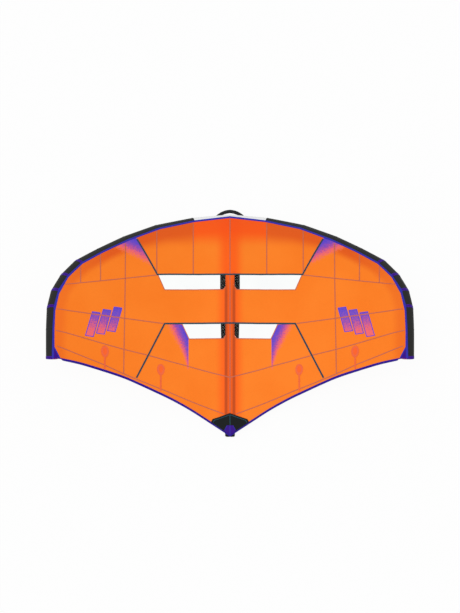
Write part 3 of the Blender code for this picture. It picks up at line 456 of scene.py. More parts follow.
def seat_frame(station, place):
    """The frame of a flat seat: X along the tube, Z out of it."""
    corners = [math.tau * (place + step) / seat_turns for step in (0, 1)]

    def middle(where):
        return sum((tube_point(where, angle) for angle in corners), Vector()) / 2

    along = (middle(station + near_share) - middle(station - near_share)).normalized()
    edge = tube_point(station, corners[1]) - tube_point(station, corners[0])
    out = along.cross(edge).normalized()
    axis = mirrored(tube_seam(0)[0].lerp(tube_seam(1)[0], abs(station)), 1 if station > 0 else -1)
    if out.dot(middle(station) - axis) < 0:
        out = -out
    return frame_at(middle(station), along, out)


# Each seat's station and place round the tube, then half the length and width of its flat.
seat_rows = (
    (0.60, 14, 0.031, 0.031),      # valve
    (-0.62, 14, 0.019, 0.019),     # hose
    (-0.64, 12, 0.104, 0.014),     # zip
)
seats = [seat_frame(station, place) for station, place, _, _ in seat_rows]
valve_seat, hose_seat, zip_seat = seats
seat_blend = 0.016
flat_seats = [(seat, seat.inverted(), *row[2:]) for seat, row in zip(seats, seat_rows)]


def seated(point):
    """Presses a point of the casing down to the flat seat that it lies on."""
    for seat, inverse, half_length, half_width in flat_seats:
        local = inverse @ point
        beyond = math.hypot(max(0, abs(local.x) - half_length), max(0, abs(local.y) - half_width))
        if 0 < local.z < seat_blend and beyond < seat_blend:
            hold = 1 - beyond / seat_blend
            local.z *= 1 - hold * hold * (3 - 2 * hold)
            point = seat @ local
    return point


def casing_stations(first, last, step=None):
    """Stations of a casing's rings, close together beside its seams."""
    stations = set()
    for index in range(first, last):
        run = seam_lengths[index]
        for distance in near_seam:
            stations.add(round(index + distance / run, 5))
            stations.add(round(index + 1 - distance / run, 5))
        stations.add(index + 0.5)
        if step:
            stations |= {round(index + part * step / run, 5) for part in range(int(run / step))}
    return sorted(stations)


def casing(name, stations, finish):
    rings = []
    for station in stations:
        rings.append([seated(tube_point(station, angle, -pucker(station, angle)))
                      for angle in casing_angles])
    return thickened(round_piece(name, rings, finish, 60, caps=()), casing_wall, -1)


def round_bar(frame, radius, start, end, sides=48):
    """Rings of a round bar between two heights on a frame's third axis."""
    return [[frame @ Vector((radius * math.cos(angle), radius * math.sin(angle), z))
             for angle in angles_round(sides)] for z in (start, end)]


hole_depth = 0.020


def cut_by(made, cutter):
    """Cuts one piece out of another and deletes it."""
    knife = made.modifiers.new("cut", "BOOLEAN")
    knife.operation = "DIFFERENCE"
    knife.solver = "EXACT"
    knife.object = cutter
    applied(made)
    bpy.data.objects.remove(cutter)


def pierced(made, *holes):
    """Cuts round holes, each a frame and a radius, through a thin shell."""
    for number, (frame, radius) in enumerate(holes):
        rings = round_bar(frame, radius, -hole_depth, hole_depth)
        cut_by(made, round_piece(f"{made.name}_hole_{number}", rings, charcoal_casing))
    return made


valve_hole_radius = 0.0198
hose_hole_radius = 0.0083
seat_step = 0.010
inner_run = casing_stations(0, 1, seat_step)
inner_run[-1] = station_at(1, -seam_gap / 2)
middle_run = [-station for station in reversed(inner_run) if station] + inner_run
middle_casing = pierced(casing("tube_casing_middle", middle_run, white_casing),
                        (valve_seat, valve_hole_radius), (hose_seat, hose_hole_radius))
settle(middle_casing, "white_tube_cloth", "centre_sleeve")
for side, side_name in side_names.items():
    for part_name, first, last in (("inner", 1, 5), ("shoulder", 5, 7), ("tip", 7, last_seam)):
        run = casing_stations(first, last)
        run[0] = station_at(first, seam_gap / 2)
        run[-1] = station_at(last, -seam_gap / 2)
        made = casing(f"tube_casing_{part_name}_{side_name}",
                      [side * station for station in run], charcoal_casing)
        settle(made, "charcoal_tube_cloth", f"{part_name}_sleeve_{side_name}")


# Seams of the tube: where two lengths meet, the cloth is folded over and felled, and purple tape
# covers the four seams of each tip's bend. Each has a row of stitches along both edges.
band_width = 0.023
felled_width = 0.011
band_lift = 0.0004
band_wall = 0.0007
band_rows = 6
taped_seams = (5, 6, 7, 8)
felled_seams = (1, 2, 3, 4, 9)
stitch_inset = 0.0018
lengthwise_angle = math.radians(160)
lengthwise_width = 0.010
stitch_lines = {"seam": [], "tape": [], "casing": [], "purple": [], "webbing": []}


def joined(name, parts):
    """One piece made of several."""
    whole = bmesh.new()
    for part in parts:
        whole.from_mesh(part.data)
    finish = parts[0].data.materials[0]
    for part in parts:
        bpy.data.objects.remove(part)
    mesh = bpy.data.meshes.new(name)
    whole.to_mesh(mesh)
    whole.free()
    return plain_piece(name, mesh, finish)


def on_casing(station, angle, lift):
    return seated(tube_point(station, angle, lift - pucker(station, angle)))


def stitched_round(station, place_at, thread):
    """A row of stitches round the tube, on a tape. A function gives the places on the tube."""
    line = []
    for angle in [*casing_angles, 0.0]:
        place = place_at(station, angle, band_lift + band_wall)
        line.append((place, (place - tube_point(station, angle, -tube_radius)).normalized()))
    stitch_lines[thread].append(line)


def wrapped(name, index, side, width, finish, thread):
    """A tape wrapped round the tube over a seam, and the lines of its stitches."""
    rings = []
    for row in range(band_rows + 1):
        distance = width * (row / band_rows - 0.5)
        station = side * (station_at(index, distance) if distance else index)
        rings.append([on_casing(station, angle, band_lift) for angle in casing_angles])
    for distance in (stitch_inset - width / 2, width / 2 - stitch_inset):
        stitched_round(side * station_at(index, distance), on_casing, thread)
    return thickened(round_piece(name, rings, finish, 60, caps=()), band_wall)


def facing(mesh, number, out):
    """Turns a sheet over if one of its faces looks against a direction."""
    mesh.update()
    if mesh.polygons[number].normal.dot(out) < 0:
        mesh.flip_normals()
    return mesh


def along_tube(name, first, last, side, finish, thread):
    """A felled seam along the lower front of the tube."""
    rings = []
    lines = ([], [])
    for station in casing_stations(first, last):
        low = min(int(station), last_seam - 1)
        radius = tube_seam(low)[1] + (tube_seam(low + 1)[1] - tube_seam(low)[1]) * (station - low)
        turn = lengthwise_width / radius
        rings.append([on_casing(side * station, lengthwise_angle + turn * (part / 4 - 0.5),
                                band_lift) for part in range(5)])
        for line, edge in zip(lines, (-1, 1)):
            angle = lengthwise_angle + edge * (turn / 2 - stitch_inset / radius)
            place = on_casing(side * station, angle, band_lift + band_wall)
            axis = tube_point(side * station, angle, -radius)
            line.append((place, (place - axis).normalized()))
    stitch_lines[thread] += lines
    mesh = facing(cloth_mesh(name, rings), 0, lines[0][0][1])
    return thickened(plain_piece(name, mesh, finish), band_wall)


purple_tape_cloth = cloth_finish("purple_tape_cloth", (50, 4, 126), (60, 8, 142), 0.5, gloss=0.12)
for side, side_name in side_names.items():
    for number, index in enumerate(taped_seams, start=1):
        band = wrapped(f"seam_tape_{number}_{side_name}", index, side, band_width,
                       purple_tape_cloth, "purple")
        settle(band, "purple_tape_cloth", f"seam_band_{number}_{side_name}")
    seams = [wrapped(f"felled_{index}", index, side, felled_width, charcoal_casing, "casing")
             for index in felled_seams]
    seams.append(along_tube("felled_long", 1, last_seam, side, charcoal_casing, "casing"))
    settle(joined(f"tube_seams_{side_name}", seams), "charcoal_tube_cloth")
white_seams = [along_tube(f"felled_middle_{side}", 0, 1, side, white_casing, "casing")
               for side in side_names]
settle(joined("tube_seam_middle", white_seams), "white_tube_cloth")


# A cap of purple cloth closes each end of the tube: a skirt sewn round its last stretch, and an
# end that the air bulges a little.
cap_skirt = 0.022
cap_bulge = 0.004
cap_shape = ((1.00, 0.00), (0.97, 0.25), (0.85, 0.62), (0.60, 0.88), (0.30, 0.98), (0.02, 1.00))
for side, side_name in side_names.items():
    rings = []
    for distance in (cap_skirt, cap_skirt / 2, band_lift):
        station = side * station_at(last_seam, -distance)
        rings.append([tube_point(station, angle, band_lift) for angle in casing_angles])
    middle = mirrored(tube_seam(last_seam)[0], side)
    along = mirrored(seam_frames[last_seam][0], side)
    rim = rings[-1]
    for size, bulge in cap_shape:
        rings.append([middle + (place - middle) * size + along * (band_lift + cap_bulge * bulge)
                      for place in rim])
    cap = round_piece(f"tip_end_{side_name}", rings, purple_tape_cloth, 50, caps=(-1,))
    settle(thickened(cap, band_wall), "purple_tape_cloth", f"tip_cap_{side_name}")
    stitched_round(side * station_at(last_seam, stitch_inset - cap_skirt), tube_point, "purple")


# The bladders hold the air: a tube of clear film inside each casing, welded shut at its ends.
bladder_inset = 0.0060
bladder_sides = 48
bladder_end_gap = 0.012
weld_share = 0.3               # a bladder's last ring is drawn in to this share at its weld
bladder_film, tree, shader = new_finish("bladder_film", 0.25)
shader.inputs["Transmission Weight"].default_value = 0.5
mottled(tree, shader, (214, 218, 214), (232, 234, 230), 30.0)


def bladder_ring(station):
    return [tube_point(station, angle, -bladder_inset) for angle in angles_round(bladder_sides)]


def drawn_to(ring, size):
    middle = sum(ring, Vector()) / len(ring)
    return [middle + (place - middle) * size for place in ring]


def bladder(name, rings, node, *holes):
    """A bladder through rings of points, pierced by its holes."""
    rings = [drawn_to(rings[0], weld_share), *rings, drawn_to(rings[-1], weld_share)]
    settle(pierced(round_piece(name, rings, bladder_film), *holes), "bladder_film", node)


end_station = station_at(last_seam, -bladder_end_gap)
bladder_stations = [0.0]
for index in range(1, last_seam + 1):
    bladder_stations += [index - 0.5, index if index < last_seam else end_station]
bladder_stations = [-s for s in reversed(bladder_stations) if s] + bladder_stations
bladder("tube_bladder_film", [bladder_ring(station) for station in bladder_stations],
        "tube_bladder", (valve_seat, valve_hole_radius), (hose_seat, hose_hole_radius))


# The canopy: orange ripstop polyester, one curved sheet held stretched between the tube, along
# whose top it is sewn on, and the strut. Four windows are cut out of it beside the strut.
canopy_length = 1.824
tip_overhang = 0.012
trailing_rise = 0.420
trailing_rise_power = 1.5
strut_tail_radius = 0.039      # the strut's tail carries the middle of the trailing edge
strut_seat_share = 0.45        # half the width of the strut's flat seat, by its radius
strut_crown = math.sqrt(1 - strut_seat_share ** 2)
tail_gap = 0.0003
tail_top = strut_tail_radius * (1 + strut_crown) + tail_gap
seam_lift = 0.0014             # the canopy lies over the tube's seam bands
front_handle_share = 0.30
rear_handle_share = 0.32
exit_drop = 0.105
trailing_edge_rows = (
    (0.0000, 1.0000), (0.0265, 0.9445), (0.1175, 0.7733), (0.2233, 0.5858), (0.3290, 0.4328),
    (0.4412, 0.3036), (0.5285, 0.2119), (0.5981, 0.1476), (0.7338, 0.0668), (0.8443, 0.0180),
    (0.9500, 0.0000),
)
rib_end_shares = (0.0, 0.2105, 0.413, 0.590, 0.728, 0.812, 0.858, 0.893, 0.918, 0.938, 0.950)
column_step = 0.1
canopy_rows = 72
canopy_row_power = 1.15        # rows lie closer together near the tube
sheet_lift = 0.0003
sheet_wall = 0.0006


def between_rows(rows, place):
    """The value of a smooth curve through a table of places and values."""
    rows = sorted(rows)
    steps = [(high - low) / (second - first)
             for (first, low), (second, high) in zip(rows, rows[1:])]
    slopes = [steps[0], *((a + b) / 2 for a, b in zip(steps, steps[1:])), steps[-1]]
    for index in range(len(steps)):
        (first, low), (second, high) = rows[index:index + 2]
        if place <= second:
            run = second - first
            part = max(0, place - first) / run
            rest = 1 - part
            return (low * rest ** 2 * (1 + 2 * part) + high * part ** 2 * (1 + 2 * rest)
                    + run * part * rest * (slopes[index] * rest - slopes[index + 1] * part))
    return rows[-1][1]


def trailing_edge(x):
    share = x / half_spacing
    tip_depth = tube_sweep + tip_overhang
    depth = tip_depth + (canopy_length - tip_depth) * between_rows(trailing_edge_rows, share)
    return Vector((x, tube_axis_y - depth,
                   tail_top + trailing_rise * share ** trailing_rise_power))


def rib(station):
    """A rib's first point, out of the tube there, along it, its last point, along it there."""
    place = min(abs(station), last_seam)
    low = min(int(place), last_seam - 1)
    part = place - low
    ends = []
    outs = []
    for index in (low, low + 1):
        middle, radius, turn = tube_seam(index)
        outs.append(radial(index, turn, square_frames))
        ends.append(middle + radial(index, turn) * (radius + seam_lift))
    front = ends[0].lerp(ends[1], part)
    out = outs[0].lerp(outs[1], part).normalized()
    share = rib_end_shares[low] + (rib_end_shares[low + 1] - rib_end_shares[low]) * part
    back = trailing_edge(share * half_spacing)
    chord = back - front
    leave = (chord - out * chord.dot(out)).normalized()
    arrive = (chord.normalized() - up * exit_drop).normalized()
    return front, out, leave, back, arrive


def rib_controls(station):
    front, out, leave, back, arrive = rib(station)
    length = (back - front).length
    return (front, front + leave * length * front_handle_share,
            back - arrive * length * rear_handle_share, back)


knots = [rib_controls(index) for index in range(last_seam + 1)]


def knot(index, number):
    """A control point of the rib at a seam, also past the middle and past the tip."""
    if index < 0:
        return mirrored(knots[-index][number], -1)
    if index > last_seam:
        return 2 * knots[last_seam][number] - knots[last_seam - 1][number]
    return knots[index][number]


def bezier(controls, share):
    rest = 1 - share
    first, second, third, fourth = controls
    return (first * rest ** 3 + second * 3 * rest ** 2 * share
            + third * 3 * rest * share ** 2 + fourth * share ** 3)


smooth_from = 0.04             # the cloth follows the tube's straight lengths up to this share
smooth_to = 0.26


def canopy_point(station, share):
    """A point of the canopy's under side: a station along the tube and a share of the chord."""
    place = min(abs(station), last_seam)
    low = min(int(place), last_seam - 1)
    part = place - low
    controls = rib_controls(place)
    straight = bezier(controls, share)
    blend = min(1, max(0, (share - smooth_from) / (smooth_to - smooth_from)))
    if blend:
        curved = []
        for number in range(3):
            a, b, c, d = (knot(low + step, number) for step in (-1, 0, 1, 2))
            curved.append((2 * b + (c - a) * part + (2 * a - 5 * b + 4 * c - d) * part ** 2
                           + (3 * b - a - 3 * c + d) * part ** 3) / 2)
        smooth = bezier((*curved, controls[3]), share)
        straight = straight.lerp(smooth, blend * blend * (3 - 2 * blend))
    return mirrored(straight, 1 if station >= 0 else -1)


column_count = round(2 * last_seam / column_step)
canopy_columns = []
for column in range(column_count + 1):
    station = -last_seam + column * column_step
    if abs(station) < column_step / 2:
        station = 0.0
    shares = [(row / canopy_rows) ** canopy_row_power for row in range(canopy_rows + 1)]
    canopy_columns.append([canopy_point(station, share) + up * sheet_lift for share in shares])
canopy_mesh = cloth_mesh("canopy", canopy_columns)
canopy_tree = BVHTree.FromPolygons([v.co for v in canopy_mesh.vertices],
                                   [tuple(f.vertices) for f in canopy_mesh.polygons])

# Clear film windows fill holes beside the strut. Their outlines are given in plan for the right
# side. The front edges lie hidden under the load tapes.
under_tape = 0.004
film_wall = 0.0005
window_fronts = {
    "front": ((0.5820, 0.2953), (0.488, 0.3038), (0.391, 0.3128), (0.293, 0.3178), (0.196, 0.3148),
              (0.098, 0.3078), (0.0358, 0.3038)),
    "rear": ((0.3840, -0.1082), (0.288, -0.1042), (0.192, -0.1052), (0.096, -0.1102),
             (0.0358, -0.1112)),
}
window_backs = {
    "front": ((0.0358, 0.2048), (0.0540, 0.1808), (0.134, 0.1848), (0.233, 0.1908),
              (0.331, 0.1898), (0.429, 0.1828), (0.528, 0.1738)),
    "rear": ((0.0358, -0.2002), (0.0520, -0.2248), (0.109, -0.2232), (0.183, -0.2202),
             (0.256, -0.2192), (0.330, -0.2212)),
}
window_outlines = {}
for window, front in window_fronts.items():
    outline = [Vector((x, y + under_tape)) for x, y in front]
    window_outlines[window] = outline + [Vector(corner) for corner in window_backs[window]]


def inside(outline, x, y):
    """Whether a plan point lies inside an outline."""
    found = False
    for here, after in zip(outline, outline[1:] + outline[:1]):
        if (here.y > y) != (after.y > y):
            if x < here.x + (y - here.y) * (after.x - here.x) / (after.y - here.y):
                found = not found
    return found


cut_margin = 0.03              # faces this near to a cut are split by it


def cut_along(shape, outline, side):
    """Splits the sheet's faces along an outline's vertical planes."""
    for here, after in zip(outline, outline[1:] + outline[:1]):
        low = (min(here.x, after.x) - cut_margin, min(here.y, after.y) - cut_margin)
        high = (max(here.x, after.x) + cut_margin, max(here.y, after.y) + cut_margin)
        near = []
        for face in shape.faces:
            middle = face.calc_center_median()
            if low[0] < side * middle.x < high[0] and low[1] < middle.y < high[1]:
                near.append(face)
        edges = {edge for face in near for edge in face.edges}
        corners = {corner for face in near for corner in face.verts}
        bmesh.ops.bisect_plane(shape, geom=[*near, *edges, *corners], dist=1e-6,
                               plane_co=(side * here.x, here.y, 0),
                               plane_no=(after.y - here.y, -side * (after.x - here.x), 0))


sheet = bmesh.new()
sheet.from_mesh(canopy_mesh)
window_films = {}
for window, outline in window_outlines.items():
    for side, side_name in side_names.items():
        cut_along(sheet, outline, side)
        film = sheet.copy()
        for shape, keeps_inside in ((sheet, False), (film, True)):
            spare = []
            for face in shape.faces:
                middle = face.calc_center_median()
                if inside(outline, side * middle.x, middle.y) != keeps_inside:
                    spare.append(face)
            bmesh.ops.delete(shape, geom=spare, context="FACES")
        mesh = bpy.data.meshes.new(f"{window}_film_{side_name}")
        film.to_mesh(mesh)
        film.free()
        window_films[window, side_name] = mesh
bmesh.ops.dissolve_degenerate(sheet, dist=1e-5, edges=sheet.edges)
sheet.to_mesh(canopy_mesh)
sheet.free()


def facing_up(mesh):
    """Turns a sheet over if its faces look down."""
    if sum(face.normal.z * face.area for face in mesh.polygons) < 0:
        mesh.flip_normals()
    return mesh


def ramp(tree, factor, stops):
    made = add_node(tree, "ShaderNodeValToRGB", {0: factor})
    made.color_ramp.interpolation = "LINEAR"
    elements = made.color_ramp.elements
    elements[0].position, elements[0].color = stops[0]
    elements[-1].position, elements[-1].color = stops[-1]
    for position, shade in stops[1:-1]:
        elements.new(position).color = shade
    return made.outputs[0]


def map_range(tree, value, low, high, to_low=0.0, to_high=1.0, smooth=False):
    kind = "SMOOTHSTEP" if smooth else "LINEAR"
    return add_node(tree, "ShaderNodeMapRange",
                    {0: value, 1: low, 2: high, 3: to_low, 4: to_high},
                    interpolation_type=kind).outputs[0]


light_orange = colour(255, 131, 34)
warm_orange = colour(252, 125, 28)
# Painted shade: the next three colours stand in for shade on the cloth, behind the tube and beside
# the strut.
painted_shade_orange = colour(228, 86, 20)
painted_shade_red = colour(255, 84, 12)
painted_fold_shade_orange = colour(190, 74, 24)
fade_stops = ((0.0, colour(88, 66, 205)), (0.22, colour(112, 74, 198)),
              (0.45, colour(160, 78, 170)), (0.72, colour(240, 102, 112)),
              (1.0, colour(255, 128, 60)))

# Places and depths of the painted shade in the cloth's colour, in metres from the middle and the
# tube.
shade_band_depths = (0.320, 0.125)   # of the painted shade behind the tube, near the middle and outboard
shade_band_depths_at = (0.10, 0.80)
shade_band_strengths = (0.88, 0.38)  # inboard, and towards the tips
shade_band_strengths_at = (0.98, 1.33)
first_panel_seam = 0.298       # the painted shade is redder inside this seam
# Painted shade beside the strut: a redder tint next to it, and darker painted lines for folds down
# to it, also faintly over its top behind the front.
strut_painted_shade_reach = (0.030, 0.130)
strut_painted_shade = 0.75
strut_fold_shade_line = 0.031             # painted shade where the cloth would fold down to the strut on each side; the sheet lies unfolded
strut_fold_shade_reach = (0.005, 0.019)
over_strut_shade_share = 0.28
strut_fold_shade_starts = (0.36, 0.16)
# The front fade starts from a corner of the front tape and crosses a wedge outboard of it. A
# place's share of the fade grows with these slopes, outwards and rearwards.
wedge_corner = (0.915, 0.5218)
wedge_slopes = (2.684, -5.675)
wedge_corner_share = 0.88
tape_corner = (0.757, 0.6188)
tape_slope = 0.517
# The rear fade starts along the rear window's slanted edge and the seam behind it.
fade_rows = (-0.4582, -0.2207, -0.1125)     # its end, the window's rear and front corners
fade_edges = (0.334, 0.3843)
fade_widths = (0.030, 0.126)
faint_end = -0.4682
faint_share = 0.62
fade_ends = ((-0.1082, -0.1092), (-0.4782, -0.4482))


def fading_out(tree, value, start, end):
    """1 up to a start, and smoothly down to 0 at an end."""
    return map_range(tree, value, start, end, 1.0, 0.0, smooth=True)


def sprayed(tree, reach):
    """The speckle of a sprayed dye, as a shift of its fade."""
    return map_range(tree, noise_node(tree, 95.0, 2.0), 0.3, 0.7, -reach, reach)


def object_axes(tree):
    place = add_node(tree, "ShaderNodeTexCoord").outputs["Object"]
    return add_node(tree, "ShaderNodeSeparateXYZ", {0: place}).outputs


def canopy_finish():
    """Orange ripstop with painted shade behind the tube and by the strut. Its dyed fades lie beside
    the front tape and beside the rear windows.
    """
    finish, tree, shader = new_finish("orange_ripstop", 0.62, 0.14)
    woven(tree, shader, 0.0060, 0.35, 0.0001)

    def times(first, second):
        return math_node(tree, "MULTIPLY", first, second)

    def plus(first, second):
        return math_node(tree, "ADD", first, second)

    def minus(first, second):
        return math_node(tree, "SUBTRACT", first, second)

    axes = object_axes(tree)
    x = math_node(tree, "ABSOLUTE", axes[0])
    y = axes[1]
    wander = map_range(tree, noise_node(tree, 2.5, 3.0), 0.35, 0.65)
    base = mix_colour(tree, wander, warm_orange, light_orange)
    # Painted shade: the colour is darkened behind the tube, where the cloth rolls over it, and
    # beside the strut under it.
    from_tube = add_node(tree, "ShaderNodeAttribute", attribute_name="from_tube").outputs["Fac"]
    depth = map_range(tree, x, *shade_band_depths_at, *shade_band_depths)
    band = fading_out(tree, math_node(tree, "DIVIDE", from_tube, depth), 0.40, 1.0)
    strength = map_range(tree, x, *shade_band_strengths_at, *shade_band_strengths)
    shade = mix_colour(tree, math_node(tree, "GREATER_THAN", x, first_panel_seam), painted_shade_red,
                       painted_shade_orange)
    base = mix_colour(tree, times(band, strength), base, shade)
    # Painted shade beside the strut, and painted shade of folds down to it that the sheet itself
    # does not have.
    beside = fading_out(tree, x, *strut_painted_shade_reach)
    base = mix_colour(tree, times(beside, strut_painted_shade), base, painted_shade_red)
    from_fold_shade_line = math_node(tree, "ABSOLUTE", minus(x, strut_fold_shade_line))
    fold_shade = fading_out(tree, from_fold_shade_line, *strut_fold_shade_reach)
    over_strut_shade = times(math_node(tree, "LESS_THAN", x, strut_fold_shade_line), over_strut_shade_share)
    behind = map_range(tree, y, *strut_fold_shade_starts, 0.0, 0.95)
    fold_shade_mask = times(math_node(tree, "MAXIMUM", fold_shade, over_strut_shade), behind)
    base = mix_colour(tree, fold_shade_mask, base, painted_fold_shade_orange)
    spray = sprayed(tree, 0.13)
    # Front fade, outboard of the tape.
    outwards = times(minus(x, wedge_corner[0]), wedge_slopes[0])
    rearwards = times(minus(y, wedge_corner[1]), wedge_slopes[1])
    wedge = plus(plus(outwards, rearwards), wedge_corner_share)
    wedge = plus(wedge, spray)
    tape_x = times(minus(y, tape_corner[1]), tape_slope)
    from_tape = minus(minus(x, tape_corner[0]), tape_x)
    zone = times(math_node(tree, "GREATER_THAN", from_tape, 0.0),
                 fading_out(tree, wedge, 0.8, 1.05))
    base = mix_colour(tree, zone, base, ramp(tree, wedge, fade_stops))
    # Rear fade, outboard of the window's edge and weaker behind the window.
    edge = map_range(tree, y, *fade_rows[1:], *fade_edges)
    width = map_range(tree, y, *fade_rows[:2], *fade_widths)
    from_edge = minus(x, edge)
    faint = map_range(tree, y, fade_rows[1], faint_end, 0.0, faint_share)
    outwards = plus(math_node(tree, "DIVIDE", from_edge, width), faint)
    outwards = plus(outwards, spray)
    zone = times(math_node(tree, "GREATER_THAN", from_edge, 0.0),
                 fading_out(tree, outwards, 0.75, 1.1))
    for start, end in fade_ends:
        zone = times(zone, map_range(tree, y, start, end))
    base = mix_colour(tree, zone, base, ramp(tree, outwards, fade_stops))
    tree.links.new(base, shader.inputs["Base Color"])
    return finish


from_tube = canopy_mesh.attributes.new("from_tube", "FLOAT", "POINT")
tube_line = [canopy_point(step / 10, 0).to_2d() for step in range(10 * last_seam + 1)]


def distance_to(line, x, y):
    """The plan distance from a point to a line of points."""
    here = Vector((x, y))
    distances = []
    for start, end in zip(line, line[1:]):
        run = end - start
        share = min(1, max(0, (here - start).dot(run) / run.length_squared))
        distances.append((here - start - run * share).length)
    return min(distances)


from_tube.data.foreach_set("value", [distance_to(tube_line, abs(v.co.x), v.co.y)
                                     for v in canopy_mesh.vertices])
canopy = plain_piece("canopy", facing_up(canopy_mesh), canopy_finish())
thickened(canopy, sheet_wall)
settle(canopy, "orange_canopy_cloth",
       *(f"canopy_{panel}_panel_{side_name}" for panel in ("nose", "middle", "tail")
         for side_name in side_names.values()))


# The windows: clear film sewn into the canopy's holes. It follows the canopy's curve, and narrow
# strips of seam cloth hold its edges.
window_film, tree, shader = new_finish("clear_window_film", 0.06)
shader.inputs["Transmission Weight"].default_value = 1.0
shader.inputs["IOR"].default_value = 1.12
shader.inputs["Specular IOR Level"].default_value = 0.6
mottled(tree, shader, (247, 249, 249), (254, 255, 255), 6.0)
for (window, side_name), mesh in window_films.items():
    film = plain_piece(mesh.name, facing_up(mesh), window_film)
    thickened(film, film_wall)
    settle(film, "clear_window_film", f"{window}_window_{side_name}")


# The strut: an inflated casing of charcoal cloth under the middle of the canopy. It is sewn to the
# cloth along a flat seat, is cut to the tube in front, and narrows towards its tail.
strut_front_radius = 0.080
strut_taper_share = 0.36
strut_taper_power = 1.6
strut_first_share = 0.050
strut_rows = 44
strut_arcs = 56
strut_seat_gap = 0.0004
mitre_gap = 0.0002             # between the strut's front and the tube
strut_edge = math.asin(strut_seat_share)
strut_slant = 0.47             # the strut's end leans forward below, by this much of its height
strut_slant_start = 0.86
strut_bladder_inset = 0.004
strut_bladder_reach = (0.14, 0.94)
strut_bladder_rows = 16
strut_bladder_arcs = 28
seat_station_length = tube_seams[1][0] * half_spacing


def strut_radius(share):
    taper = max(0.0, (share - strut_taper_share) / (1 - strut_taper_share)) ** strut_taper_power
    return strut_front_radius + (strut_tail_radius - strut_front_radius) * taper


def strut_round(share, angle, lift=0.0):
    """A point of the strut's round side. The angle runs from the top, over the right side."""
    radius = strut_radius(share)
    station = radius * strut_seat_share / seat_station_length
    seat = canopy_point(station, share)
    z = seat.z - strut_seat_gap - radius * strut_crown + (radius + lift) * math.cos(angle)
    lean = strut_slant * max(0.0, share - strut_slant_start) / (1 - strut_slant_start)
    seat_y = canopy_point(0, share).y
    return Vector(((radius + lift) * math.sin(angle), seat_y + lean * max(0.0, seat.z - z), z))


def strut_ring(share, inset=0.0, arcs=strut_arcs):
    radius = strut_radius(share)
    station = (radius * strut_seat_share - inset) / seat_station_length
    drop = strut_seat_gap + inset
    seat = [canopy_point(side * station * part, share) - up * drop
            for side, part in ((-1, 1), (-1, 0.5), (1, 0), (1, 0.5), (1, 1))]
    turns = [strut_edge + (math.tau - 2 * strut_edge) * step / arcs for step in range(1, arcs)]
    return [*seat[2:], *(strut_round(share, turn, -inset) for turn in turns), *seat[:2]]


strut_shares = [strut_first_share + (1 - strut_first_share) * row / strut_rows
                for row in range(strut_rows + 1)]
strut = round_piece("strut_casing", [strut_ring(share) for share in strut_shares],
                    charcoal_casing, caps=())
thickened(strut, casing_wall, -1)
tube_rings = [[tube_point(station, angle, mitre_gap) for angle in casing_angles]
              for station in (-1, 0, 1)]
cut_by(strut, round_piece("saddle", tube_rings, charcoal_casing))
# The hose from the tube enters the strut's left side.
strut_port = frame_at(Vector((-0.07697, 0.5652, 0.21514)), Vector((0, -0.99172, 0.12842)),
                      Vector((-0.97254, -0.02687, -0.23119)))
pierced(strut, (strut_port, hose_hole_radius))
settle(strut, "charcoal_tube_cloth", "strut_sleeve")

first, last = strut_bladder_reach
rings = [strut_ring(first + (last - first) * row / strut_bladder_rows, strut_bladder_inset,
                    strut_bladder_arcs) for row in range(strut_bladder_rows + 1)]
bladder("strut_bladder_film", rings, "strut_bladder", (strut_port, hose_hole_radius))


# A black cap closes the strut's tail, and felled seams of the casing's own cloth cross and follow
# its lower side, each with a row of stitches along both edges.
tail_cap_depth = 0.016
tail_cap_shape = ((0.02, 1.00), (0.40, 0.99), (0.68, 0.95), (0.86, 0.87), (0.96, 0.70),
                  (1.00, 0.40), (1.01, 0.02))
last_ring = strut_ring(1.0)
ring_middle = sum(last_ring, Vector()) / len(last_ring)
rings = [[ring_middle + (place - ring_middle) * size - Vector((0, tail_cap_depth * reach, 0))
          for place in last_ring] for reach, size in tail_cap_shape]
black_patch_cloth = cloth_finish("black_patch_cloth", (14, 18, 18), (24, 28, 29), 0.7, gloss=0.12)
settle(round_piece("strut_tail_end", rings, black_patch_cloth, 50), "black_patch_cloth",
       "strut_tail_cap")
cross_seams = (0.40, -0.02, -0.40)
cross_seam_steps = 40
cross_seam_margin = 0.12       # radians between a cross seam's end and the strut's seat
long_seam = (0.68, -0.86)
long_seam_turn = math.radians(154)
long_seam_step = 0.015


def share_at(y):
    """The share of the middle rib's chord at a distance along the wing."""
    low, high = 0.0, 1.0
    for _ in range(24):
        share = (low + high) / 2
        low, high = (share, high) if canopy_point(0, share).y > y else (low, share)
    return share


def out_of_strut(place):
    """The way out of the strut at a place on its round side."""
    share = share_at(place.y)
    axis = strut_round(share, math.pi, -strut_radius(share))
    return Vector((place.x, 0, place.z - axis.z)).normalized()


def strut_strip(name, rows):
    """A felled seam whose rows of places lie on the strut, with its two lines of stitches."""
    mesh = cloth_mesh(name, rows)
    number = len(mesh.polygons) // 2
    facing(mesh, number, out_of_strut(mesh.polygons[number].center))
    for edge, beside in ((0, 1), (-1, -2)):
        line = []
        for row in rows:
            place = row[edge] + (row[beside] - row[edge]).normalized() * stitch_inset
            out = out_of_strut(place)
            line.append((place + out * band_wall, out))
        stitch_lines["casing"].append(line)
    return thickened(plain_piece(name, mesh, charcoal_casing), band_wall)


